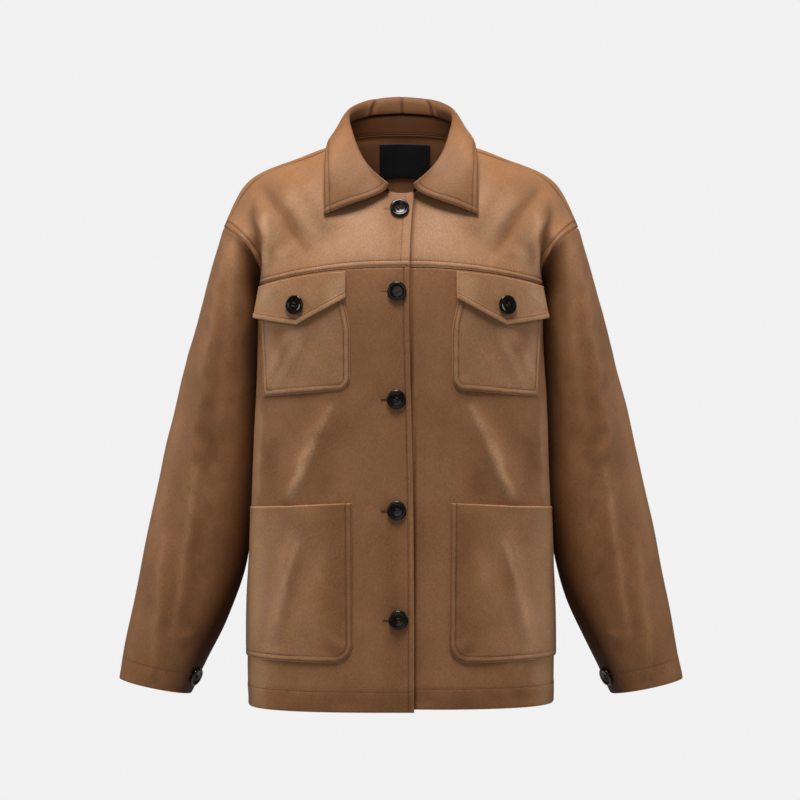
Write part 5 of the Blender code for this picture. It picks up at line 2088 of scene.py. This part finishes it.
@dataclass(frozen=True)
class ChestPatch(Patch):
    """Outline of a chest pocket."""

    inner: float = 0.06
    span: float = 0.126
    outer_low: float = 0.171
    slant: float = 0.008
    slant_start: float = 0.55
    top_inner: float = -0.188
    top_outer: float = -0.188
    bottom_inner: float = -0.305
    bottom_outer: float = -0.3145
    corner: float = 0.015
    creases: tuple = folds_of(
        (122, -226, 164, -298, 8.5, 2.2), (100, -236, 136, -300, 14, -1.2), (80, -300, 110, -270, 10, 0.5),
    )
    streaks: tuple = light_and_shade_of(
        (118, -236.5, 150, -298.5, 5.5, 1.4), (148, -236, 142, -262, 9, -0.9),
        (150, -225, 154, -305, 8, 0.4),
    )

    def inner_edge(self, height: Array) -> Array:
        """Distance of the inner edge before its corner is rounded, slanting in under the flap."""
        rise = (self.rise(height) - self.slant_start) / (1 - self.slant_start)
        return self.inner + self.slant * ease(rise)

    def outer_edge(self, height: Array, body: Body) -> Array:
        """Distance of the outer edge, which slants in towards its foot."""
        rise = (height - self.bottom_outer) / (self.top_outer - self.bottom_outer)
        return between(self.outer_low, self.inner + self.span, rise)


@dataclass(frozen=True)
class HipPatch(Patch):
    """Outline of a lower pocket, whose mouth stands a little open."""

    inner: float = 0.058
    span: float = 0.138
    inner_bottom: float = 0.0565
    to_side: float = 0.01
    top_inner: float = -0.4386
    top_outer: float = -0.445
    bottom_inner: float = -0.6275
    bottom_outer: float = -0.6255
    corner: float = 0.024
    mouth: float = 0.003
    mouth_start: float = 0.7
    creases: tuple = folds_of(
        (128, -492, 156, -592, 12, 3.2), (92, -520, 108, -600, 16, 1), (130, -478, 158, -594, 5.5, 1),
        (112, -500, 140, -600, 9, -0.8), (66, -612, 82, -600, 6, 0.9), (72, -622, 90, -612, 5, -0.7),
        (150, -585, 166, -620, 10, 1),
    )
    streaks: tuple = light_and_shade_of(
        (124, -485, 150, -580, 3.6, 1.2), (150, -560, 156, -625, 8, 0.9), (180, -455, 180, -625, 16, 1.6),
        (126, -500, 132, -540, 10, -0.6), (93, -495, 98, -530, 8, 0.4),
    )

    def inner_edge(self, height: Array) -> Array:
        """Distance of the inner edge before its corner is rounded."""
        return between(self.inner_bottom, self.inner, self.rise(height))

    def outer_edge(self, height: Array, body: Body) -> Array:
        """Distance of the outer edge, short of the side seam."""
        return body.girth(height) - self.to_side

    def gape(self, distance: Array, height: Array) -> Array:
        """How far the pocket stands off."""
        opened = self.mouth * ease((self.rise(height) - self.mouth_start) / (1 - self.mouth_start))
        return opened * np.sin(math.pi * self.share(distance))


@dataclass
class OnFront(SidePiece):
    """Piece that lies on a front, in distance along the front's cloth and height."""

    def above(self, distance: Array, height: Array, lift: Array) -> Array:
        """Places at a lift over the front, with the piece's own folds."""
        lift = lift + fold_height(distance, height, self.creases)
        return self.forms.front.above(distance, height, self.side, lift)

    def path(self, distance: Array, height: Array, away: float) -> tuple:
        """Row of stitches.

        Args:
            distance: Distances along the front's cloth.
            height: Heights.
            away: Distance of the row from the sewn edge.

        Returns:
            Its places and normals.
        """
        extra = float(self.seam.height(np.array([away]))[0])
        facing = normals(partial(self.forms.front.place, side=self.side), distance, height)
        return self.lifted(distance, height, extra), facing

    def press(self, weft: Weft, distance: Array, height: Array) -> Array:
        """Press the sewn edge into the cloth.

        Args:
            weft: Grid of the cloth.
            distance: Distances along the front's cloth.
            height: Heights.

        Returns:
            Distance of every place from that edge.
        """
        away = self.away(distance, height)
        weft.height += self.seam.height(away)
        weft.tone += self.seam.tone(away)
        return away


@dataclass
class Pocket(OnFront):
    """Patch pocket sewn on a front along its sides and bottom."""

    name: str
    patch: Patch
    flat: Flat
    seam: Seam = Seam(stitches=(0.0014, 0.0074), lift=0.0003, rib=0.00015, groove=0.0004, worn=0.6)
    across_lines: Lines = Lines(0.026, 0.0105, 0.001, 0.0032)
    up_lines: Lines = Lines(0.026, 0.003, 0.001, 0.0032)
    # Tone of painted light over the whole pocket, and of painted shade near its inner side.
    painted_light: float = 0.2
    painted_shade: float = 0.0
    relief: Relief = Relief(0.00022, 6.0, ((Edge.TOP, CUT_EDGE),), (
        Pucker(Edge.START, 0.0074, 0.006, 0.00014, 3.0), Pucker(Edge.BOTTOM, 0.0074, 0.006, 0.00014, 8.0)))

    @property
    def creases(self) -> tuple:
        """Folds of the pocket."""
        return self.patch.creases

    def outer_edge(self, height: Array) -> Array:
        """Distance of the outer edge."""
        return self.patch.outer_edge(height, self.forms.cut.body)

    def across(self, share: Array, rise: Array) -> tuple:
        """Distance along the front's cloth and height, from shares of the pocket.

        Args:
            share: Share from the inner edge to the outer one.
            rise: Share from the bottom to the top.

        Returns:
            Distances and heights.
        """
        patch = self.patch
        high = patch.top_inner - patch.bottom_inner
        level = patch.bottom_inner + rise * high
        up = np.clip(1 - rise * high / patch.corner, 0, 1)
        inner = patch.inner_edge(level) + patch.corner * (1 - np.sqrt(1 - up**2))
        distance = between(inner, self.outer_edge(level), share)
        return distance, between(patch.bottom(distance), patch.upper(distance), rise)

    def lifted(self, distance: Array, height: Array, extra: float = 0.0) -> Array:
        """Places on the pocket by distance along the front's cloth and height."""
        lift = self.forms.cut.gap + self.forms.cut.patch_wall + self.patch.gape(distance, height) + extra
        return self.above(distance, height, lift)

    def surface(self, share: Array, rise: Array) -> Array:
        """Places on the pocket."""
        return self.lifted(*self.across(np.clip(share, 0, 1), np.clip(rise, 0, 1)))

    def away(self, distance: Array, height: Array) -> Array:
        """Distance from the sewn edge, round its corner.

        Args:
            distance: Distances along the front's cloth.
            height: Heights.

        Returns:
            Distance at each of them.
        """
        patch, radius = self.patch, self.patch.corner
        side, low = distance - patch.inner_edge(height), height - patch.bottom(distance)
        rounded = radius - np.hypot(radius - side, radius - low)
        near = np.where((side < radius) & (low < radius), rounded, np.minimum(side, low))
        return np.maximum(np.minimum(near, self.outer_edge(height) - distance), 0)

    def stitch_path(self, away: float, count: int = 90) -> tuple:
        """Path of a row of stitches.

        Args:
            away: Its distance from the sewn edge.
            count: Places on each straight run.

        Returns:
            Its places and normals.
        """
        patch, radius = self.patch, self.patch.corner
        level = np.linspace(patch.top_inner, patch.bottom_inner + radius, count)
        down = np.stack([patch.inner_edge(level) + away, level])
        turn = np.linspace(0, math.pi / 2, count // 3)[1:]
        bend = patch.inner_edge(patch.bottom_inner) + radius - (radius - away) * np.cos(turn)
        arc = np.stack([bend, patch.bottom(bend) + radius - (radius - away) * np.sin(turn)])
        last = float(self.outer_edge(np.array([patch.bottom_outer]))[0]) - away
        run = np.linspace(arc[0, -1], last, count)[1:]
        low = np.stack([run, patch.bottom(run) + away])
        level = np.linspace(low[1, -1], float(patch.upper(last)), count)[1:]
        up = np.stack([self.outer_edge(level) - away, level])
        distance, height = np.concatenate([down, arc, low, up], axis=1)
        return self.path(distance, height, away)

    def build(self) -> None:
        """Make the pocket and its stitching."""
        side = self.side
        weft = Weft(self.surface, self.across_lines, self.up_lines, samples=72)
        distance, height = self.across(weft.first, weft.second)
        self.relief.press(weft, side.value)
        self.press(weft, distance, height)
        # Painted light over the pocket, painted shade near its inner side.
        weft.tone += self.painted_light - self.painted_shade * bump(distance - 0.07, 0.028)
        # Painted light on the ridges of the pocket's creases, painted shade in their troughs.
        weft.tone += 55.0 * fold_height(distance, height, self.patch.creases)
        paint_light_and_shade(weft, self.patch.streaks)
        self.cloth(self.name, weft, ("front_" + side.word,),
                   9.7 + 0.6 * side.value + self.flat.length * 5,
                   [self.stitch_path(stitch) for stitch in self.seam.stitches], Held.LAID, wall=0.0013,
                   pitch=0.0034)


@dataclass
class Flap(OnFront):
    """Pointed flap over a chest pocket."""

    flat: Flat = Flat(0.125, 0.056, 0.0058)
    across_lines: Lines = Lines(0.01, 0.01, 0.0009, 0.002)
    up_lines: Lines = Lines(0.01, 0.002, 0.0009, 0.0022)
    inner: float = 0.065
    outer: float = 0.187
    below_seam: float = 0.003
    point: float = 0.1235
    inner_bottom: float = -0.1977
    point_bottom: float = -0.2287
    outer_bottom: float = -0.2195
    flare: float = 0.006
    hang: float = 0.0014
    button_at: float = 0.125
    button_rise: float = 0.42
    stitch_trim: float = 0.0012
    seam: Seam = Seam(stitches=(0.0062,), lift=0.0009, worn=0.8)
    creases: tuple = folds_of(
        (80, -176, 96, -200, 8, 0.7), (150, -180, 176, -206, 9, 1.1), (112, -176, 120, -196, 7, -0.6),
    )
    relief: Relief = Relief(
        0.00015, 7.0, ((Edge.START, CUT_EDGE), (Edge.END, CUT_EDGE)),
        (Pucker(Edge.BOTTOM, 0.0072, 0.006, 0.00012, 5.0),),
        streaks=light_and_shade_of(
            (158, -186, 166, -212, 12, 0.4), (72, -176, 82, -200, 10, 1)),
    )

    @property
    def slopes(self) -> tuple:
        """Slope of the lower edge on the inner and on the outer side of its point."""
        return ((self.inner_bottom - self.point_bottom) / (self.inner - self.point),
                (self.outer_bottom - self.point_bottom) / (self.outer - self.point))

    def bottom(self, distance: Array) -> Array:
        """Height of the pointed lower edge."""
        return np.interp(distance, [self.inner, self.point, self.outer],
                         [self.inner_bottom, self.point_bottom, self.outer_bottom])

    def top(self, distance: Array) -> Array:
        """Height of the upper edge."""
        distance = np.asarray(distance)
        return self.forms.cut.front_top(distance.ravel()).reshape(distance.shape) - self.below_seam

    def height_at(self, distance: Array, rise: Array) -> Array:
        """Height at a share of the flap's own height."""
        return between(self.bottom(distance), self.top(distance), rise)

    def lifted(self, distance: Array, height: Array, extra: float = 0.0) -> Array:
        """Places on the flap by distance along the front's cloth and height.

        Args:
            distance: Distances along the front's cloth.
            height: Heights.
            extra: Lift over the flap's own face.

        Returns:
            One place for each.
        """
        cut, bottom = self.forms.cut, self.bottom(distance)
        rise = np.clip((height - bottom) / (self.top(distance) - bottom), 0, 1)
        across = np.clip((distance - self.inner) / (self.outer - self.inner), 0, 1)
        hang = (1 - rise) * between(self.hang, self.flare, across**3)
        return self.above(distance, height, 2 * (cut.gap + cut.patch_wall) + hang + extra)

    def surface(self, share: Array, rise: Array) -> Array:
        """Places on the flap."""
        distance = between(self.inner, self.outer, np.clip(share, 0, 1))
        return self.lifted(distance, self.height_at(distance, np.clip(rise, 0, 1)))

    def away(self, distance: Array, height: Array) -> Array:
        """Distance from the pointed lower edge.

        Args:
            distance: Distances along the front's cloth.
            height: Heights.

        Returns:
            Distance at each of them.
        """
        over = [(height - self.point_bottom - slope * (distance - self.point)) / math.hypot(1, slope)
                for slope in self.slopes]
        return np.maximum(np.minimum(*over), 0)

    def stitch_path(self, away: float, count: int = 50) -> tuple:
        """Path of a row of stitches.

        Args:
            away: Its distance from the lower edge.
            count: Places on each half.

        Returns:
            Its places and normals.
        """
        slopes = self.slopes
        levels = [self.point_bottom + away * math.hypot(1, slope) for slope in slopes]
        tip = (levels[1] - levels[0]) / (slopes[0] - slopes[1])
        offs = (self.inner + self.stitch_trim - self.point, tip, self.outer - self.stitch_trim - self.point)
        corners = [(self.point + off, levels[half] + slopes[half] * off)
                   for half, off in zip((0, 0, 1), offs)]
        runs = [np.linspace(start, end, count)[:-1] for start, end in zip(corners, corners[1:])]
        return self.path(*np.concatenate(runs).T, away)

    def build(self) -> None:
        """Make the flap and its stitching."""
        side = self.side
        weft = Weft(self.surface, self.across_lines, self.up_lines, samples=72)
        distance = between(self.inner, self.outer, weft.first)
        height = self.height_at(distance, weft.second)
        self.relief.press(weft, side.value)
        away = self.press(weft, distance, height)
        # Painted light over the flap, brighter along its lower edge.
        weft.tone += 0.3 + 0.3 * (1 - ease((away - 0.0045) / 0.0016))
        level = self.height_at(self.button_at, self.button_rise)
        button = np.hypot(distance - self.button_at, height - level)
        weft.height -= 0.0007 * bump(button, 0.009)
        # Painted shade round the button.
        weft.tone -= 0.5 * bump(button, 0.0105)
        self.cloth("flap", weft, ("yoke_" + side.word,), 12.4 + 0.5 * side.value,
                   [self.stitch_path(stitch) for stitch in self.seam.stitches], wall=0.0014, pitch=0.0033)


@dataclass
class Label(Assembly):
    """Bare black label on the inner face of the back."""

    flat: Flat = Flat(0.065, 0.0465, 0.0029)
    lines: Lines = Lines(0.003, 0.003, 0.0008, 0.003)
    edge: Seam = Seam(stitches=(0.002,), lift=0.0, groove=0.0002, groove_shade=0.0, worn=0.0)
    gap: float = 0.0008
    wall: float = 0.001
    middle: float = 0.005
    top: float = 0.945
    bottom: float = 0.745

    def surface(self, share: Array, rise: Array) -> Array:
        """Face of the label that looks at the neck.

        Args:
            share: Share of its width, towards +X.
            rise: Share from its bottom to its top.

        Returns:
            One place a row.
        """
        cut, upper = self.forms.cut, self.forms.upper
        x = self.middle + (share - 0.5) * self.flat.width
        part = x / float(cut.body.girth(cut.underarm, True))
        up = 1 + between(self.bottom, self.top, rise)
        for _ in range(3):
            part = part + (x - upper.back(part, up)[:, 0]) * 4
        return upper.back(part, up) + normals(upper.back, part, up) * (cut.wall + self.gap + self.wall)

    def build(self) -> None:
        """Make the label."""
        weft = Weft(self.surface, self.lines, self.lines, samples=24)
        for edge in Edge:
            weft.sew(edge, self.edge)
        Cloth("neck_label", weft, self.flat, Held.LAID, ("back",), self.wall, slot="label_weave",
              faces=("label",)).build(self.finishes)


class Spot(NamedTuple):
    """Where a button is sewn on, and which way it faces."""

    name: str
    place: Array
    facing: Array
    radius: float
    turn: float


@dataclass
class Buttons(Assembly):
    """Horn buttons, their thread and the buttonholes."""

    radius: float = 0.0115
    small_radius: float = 0.0114
    lift: float = 0.0004
    steps: int = 56
    profile: tuple = (
        (0.0, 0.196), (0.5, 0.2), (0.585, 0.212), (0.665, 0.252), (0.74, 0.284), (0.82, 0.292),
        (0.9, 0.282), (0.965, 0.245), (1.0, 0.18), (0.992, 0.11), (0.95, 0.045), (0.86, 0.0), (0.0, 0.0),
    )
    sharp_above: float = 42.0
    hole_at: float = 0.215
    hole_radius: float = 0.088
    top_share: float = 0.0675
    top_rise: float = 0.7775
    cuff: tuple = (0.435, 0.953)
    slit_length: float = 0.019
    slit_half: float = 0.0008
    slit_pitch: float = 0.00062
    thread_radius: float = 0.00042
    strand: float = 0.0003
    face: float = 0.198

    @staticmethod
    def spot(name: str, radius: float, turn: float, sign: float, surface: Surface, *at: float) -> Spot:
        """Seat of a button.

        Args:
            name: Name of the button.
            radius: Its radius.
            turn: How far it is turned.
            sign: Sign of x.
            surface: Surface that it is sewn on.
            at: Pair of parameters on that surface.

        Returns:
            The seat.
        """
        at = [np.array([part]) for part in at]
        place, facing = (mirrored(part, sign)[0] for part in (surface(*at), normals(surface, *at)))
        return Spot(name, place, facing, radius, turn)

    def spots(self) -> list:
        """Every button of the jacket."""
        forms = self.forms
        held = [(partial(forms.upper.yoke, side=Side.RIGHT), self.top_share, self.top_rise)]
        front = partial(forms.front.place, side=Side.RIGHT)
        held += [(front, -x, height) for x, height in forms.cut.buttons]
        found = [self.spot("button_front_%d" % number, self.radius, 0.35 * number, -1, *seat)
                 for number, seat in enumerate(held, start=1)]
        for side in Side:
            flap = Flap(forms, self.finishes, side)
            level = float(flap.height_at(flap.button_at, flap.button_rise))
            for name, turn, seat in (("button_flap_", 0.9, (flap.lifted, flap.button_at, level)),
                                     ("button_cuff_", 0.2, (forms.sleeve.surface, *self.cuff))):
                found.append(self.spot(name + side.word, self.small_radius, turn, side.value, *seat))
        return found

    def blank(self, radius: float) -> bpy.types.Mesh:
        """Mesh of a turned button with its drilled holes, facing up at the origin.

        Args:
            radius: Radius of the button.

        Returns:
            The mesh.
        """
        turned, drill = bmesh.new(), bmesh.new()
        verts = [turned.verts.new((across * radius, 0, up * radius)) for across, up in self.profile]
        edges = [turned.edges.new(pair) for pair in zip(verts, verts[1:])]
        bmesh.ops.spin(turned, geom=verts + edges, cent=(0, 0, 0), axis=(0, 0, 1), dvec=(0, 0, 0),
                       angle=math.tau, steps=self.steps, use_merge=True, use_duplicate=False)
        bmesh.ops.remove_doubles(turned, verts=turned.verts, dist=0.000002)
        bmesh.ops.recalc_face_normals(turned, faces=turned.faces)
        for quarter in range(4):
            angle = math.pi / 4 + quarter * math.pi / 2
            at = (math.cos(angle) * self.hole_at * radius, math.sin(angle) * self.hole_at * radius, 0.001)
            bmesh.ops.create_cone(drill, cap_ends=True, segments=14, radius1=self.hole_radius * radius,
                                  radius2=self.hole_radius * radius, depth=0.02,
                                  matrix=Matrix.Translation(at))
        pieces = []
        for name, shape in (("blank", turned), ("bits", drill)):
            mesh = bpy.data.meshes.new(name)
            shape.to_mesh(mesh)
            shape.free()
            pieces.append(link(name, mesh))
        cut = pieces[0].modifiers.new("holes", "BOOLEAN")
        cut.operation = "DIFFERENCE"
        cut.solver = "EXACT"
        cut.object = pieces[1]
        drilled = evaluated_mesh(pieces[0])
        for piece in pieces:
            bpy.data.objects.remove(piece, do_unlink=True)
        return drilled

    def set_up(self, spot: Spot) -> Matrix:
        """Transform from a blank to its place on the cloth.

        Args:
            spot: Where the button is sewn on.

        Returns:
            The transform.
        """
        turn = Vector((0, 0, 1)).rotation_difference(Vector(spot.facing)).to_matrix().to_4x4()
        where = Matrix.Translation(Vector(spot.place + spot.facing * self.lift))
        return where @ turn @ Matrix.Rotation(spot.turn, 4, "Z")

    def build(self) -> None:
        """Make the buttons, the thread that holds them and the buttonholes."""
        blanks = {radius: self.blank(radius) for radius in (self.radius, self.small_radius)}
        thread = thread_curve("button_thread", self.thread_radius, 2)
        for spot in self.spots():
            mesh = blanks[spot.radius].copy()
            mesh.name = spot.name
            mesh.transform(self.set_up(spot))
            mesh.shade_smooth()
            mesh.set_sharp_from_angle(angle=math.radians(self.sharp_above))
            finish_piece(link(spot.name + "_horn", mesh, self.finishes.horn), "horn", spot.name)
            self.thread(thread, spot)
        finish_piece(turn_to_mesh("button_thread", thread, self.finishes.dark_thread), "suede")
        self.buttonholes()

    def thread(self, curve: bpy.types.Curve, spot: Spot) -> None:
        """Two loops of thread through the holes of a button.

        Args:
            curve: Curve that they are laid in.
            spot: Where the button is sewn on.
        """
        reach, top, foot = self.hole_at * spot.radius * math.sqrt(0.5), self.face * spot.radius, 0.0004
        rows = ((-reach, foot), (-reach, top), (-reach * 0.7, top + 0.00045), (0.0, top + 0.00062),
                (reach * 0.7, top + 0.00045), (reach, top), (reach, foot))
        for middle in (-reach, reach):
            for strand in (-self.strand, self.strand):
                lay_thread(curve, [self.set_up(spot) @ Vector((middle + strand, *row)) for row in rows])

    def whip(self, sewing: Stitching, surface: Surface, first: Array, second: Array, lift: float,
             per_metre: float = 1.0) -> None:
        """Whip both lips of a buttonhole.

        Args:
            sewing: Stitching that it belongs to.
            surface: Surface of the cloth.
            first: First parameters along the slit.
            second: Second parameters along it.
            lift: Height of the thread's middle over the surface.
            per_metre: Change of the second parameter over a metre.
        """
        run = self.slit_run
        wobble = 0.00012 * np.sin(run * 9000) + 0.0001 * np.sin(run * 5200)
        for side in (-1, 1):
            for away, proud, stray in ((0.00012, -0.0002, 0), (self.slit_half * 0.6, 0.00045, 0),
                                       (self.slit_half, -0.0002, 1)):
                level = second + side * (away + wobble * stray) * per_metre
                place = surface(first, level) + normals(surface, first, level) * (proud + lift)
                sewing.stitches.append(mirrored(place, -1))

    @property
    def slit_run(self) -> Array:
        """Where the whipping's stitches are along a slit."""
        return np.arange(0.0, self.slit_length, self.slit_pitch)

    def buttonholes(self) -> None:
        """Whip the buttonholes beside the front buttons."""
        forms, sewing = self.forms, Stitching("buttonholes", radius=0.0003)
        front, yoke = (partial(form, side=Side.RIGHT) for form in (forms.front.place, forms.upper.yoke))
        for x, height in forms.cut.buttons:
            self.whip(sewing, front, self.slit_run - x, height, -0.0005)
        self.whip(sewing, yoke, *self.top_hole(yoke), -0.0002, 1 / 0.085)
        sewing.build(self.finishes.slit)

    def top_hole(self, yoke: Surface) -> tuple:
        """Shares and rises along the top buttonhole, level on the yoke.

        Args:
            yoke: Surface of the yoke.

        Returns:
            Both of them, at even steps.
        """
        run = self.slit_run
        share, rise = np.full(len(run), self.top_share), np.full(len(run), self.top_rise)
        first = yoke(share[:1], rise[:1])[0]
        for _ in range(12):
            place = yoke(share, rise)
            share = share + (first[0] + run - place[:, 0]) / 0.19
            rise = rise + (first[2] - place[:, 2]) / 0.105
        return share, rise


class Lamp(NamedTuple):
    """Soft round lamp that looks at the jacket."""

    name: str
    place: tuple
    size: float
    power: float


@dataclass
class Studio:
    """Camera, lights and floor."""

    scale: float = 0.00122
    distance: float = 3.3
    sensor: float = 36.0
    half_width: float = 400.0
    middle_x: float = -0.00122
    middle_z: float = -0.3172
    aim: tuple = (0.0, 0.0, -0.33)
    floor_z: float = -1.36
    floor_radius: float = 1.7
    fade_from: float = 0.45
    fade_to: float = 0.98
    seen: float = 0.883
    shining: float = 0.1
    lamps: tuple = (
        Lamp("key", (-0.1, -0.95, 2.1), 1.2, 78.0), Lamp("left", (-2.4, 0.0, 0.6), 1.4, 20.0),
        Lamp("right", (2.4, 0.0, 0.6), 1.4, 18.0), Lamp("behind", (0.3, 3.2, 0.8), 1.6, 22.0),
        Lamp("front", (-0.4, -3.4, 0.2), 1.6, 6.0),
    )

    def camera(self) -> None:
        """Straight view of the front."""
        data = bpy.data.cameras.new("camera")
        data.sensor_width = self.sensor
        data.lens = self.sensor / 2 * self.distance / (self.half_width * self.scale)
        data.clip_end = 30
        camera = link("camera", data)
        camera.location = (self.middle_x, -self.distance, self.middle_z)
        camera.rotation_euler = (math.pi / 2, 0, 0)
        bpy.context.scene.camera = camera

    def light(self, lamp: Lamp) -> None:
        """Hang a lamp.

        Args:
            lamp: The lamp.
        """
        data = bpy.data.lights.new(lamp.name, "AREA")
        data.shape = "DISK"
        data.size = lamp.size
        data.energy = lamp.power
        piece = link(lamp.name, data)
        piece.location = lamp.place
        piece.rotation_euler = (Vector(self.aim) - Vector(lamp.place)).to_track_quat("-Z", "Y").to_euler()

    def world(self) -> None:
        """Pale surroundings: one strength for the camera, another for the light that they give."""
        world = bpy.data.worlds.new("pale")
        bpy.context.scene.world = world
        world.use_nodes = True
        wires = Nodes(world.node_tree)
        seen = wires.add("ShaderNodeLightPath").outputs["Is Camera Ray"]
        strength = wires.math("ADD", wires.math("MULTIPLY", seen, self.seen - self.shining), self.shining)
        wires.fill(world.node_tree.nodes["Background"], Color=(1, 1, 1, 1), Strength=strength)

    def floor(self) -> None:
        """Round pale floor that fades out at its rim."""
        disc = bmesh.new()
        bmesh.ops.create_circle(disc, cap_ends=True, segments=96, radius=self.floor_radius,
                                matrix=Matrix.Translation((0, 0, self.floor_z)))
        mesh = bpy.data.meshes.new("floor")
        disc.to_mesh(mesh)
        disc.free()
        material, wires, shader = new_material("floor")
        place = wires.add("ShaderNodeTexCoord")
        flat = wires.add("ShaderNodeMapping", Vector=place.outputs["Object"], Scale=(1.0, 1.0, 0.0))
        length = wires.add("ShaderNodeVectorMath", operation="LENGTH")
        wires.feed(length.inputs[0], flat.outputs[0])
        rim = (self.fade_from * self.floor_radius, self.fade_to * self.floor_radius)
        seen = wires.spread(length.outputs["Value"], *rim, 1.0, 0.0)
        uneven = wires.noise(place.outputs["Object"], 3.0, 2.0)
        pale = wires.mix(uneven, (0.8, 0.8, 0.8, 1), (0.84, 0.84, 0.84, 1))
        wires.fill(shader, Base_Color=pale, Roughness=0.9, Alpha=seen)
        link("floor", mesh, material)

    def build(self) -> None:
        """Set the studio up."""
        self.camera()
        for lamp in self.lamps:
            self.light(lamp)
        self.world()
        self.floor()
        view = bpy.context.scene.view_settings
        view.view_transform = "Standard"
        view.look = "None"


def main() -> None:
    """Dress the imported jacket."""
    logging.basicConfig(level=logging.INFO, format="%(message)s")
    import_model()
    finishes, forms = Finishes.make(), Forms()
    Back(forms, finishes).build()
    for side in Side:
        shared = (forms, finishes, side)
        Front(*shared).build()
        Yoke(*shared).build()
        Sleeve(*shared).build()
        Pocket(*shared, "chest_pocket", ChestPatch(), Flat(0.123, 0.129, 0.0145), painted_light=0.35).build()
        Pocket(*shared, "hip_pocket", HipPatch(), Flat(0.19, 0.195, 0.0351), painted_shade=0.9).build()
        Flap(*shared).build()
    Collar(forms, finishes).build()
    Label(forms, finishes).build()
    Buttons(forms, finishes).build()
    Studio().build()


if __name__ == "__main__":
    main()
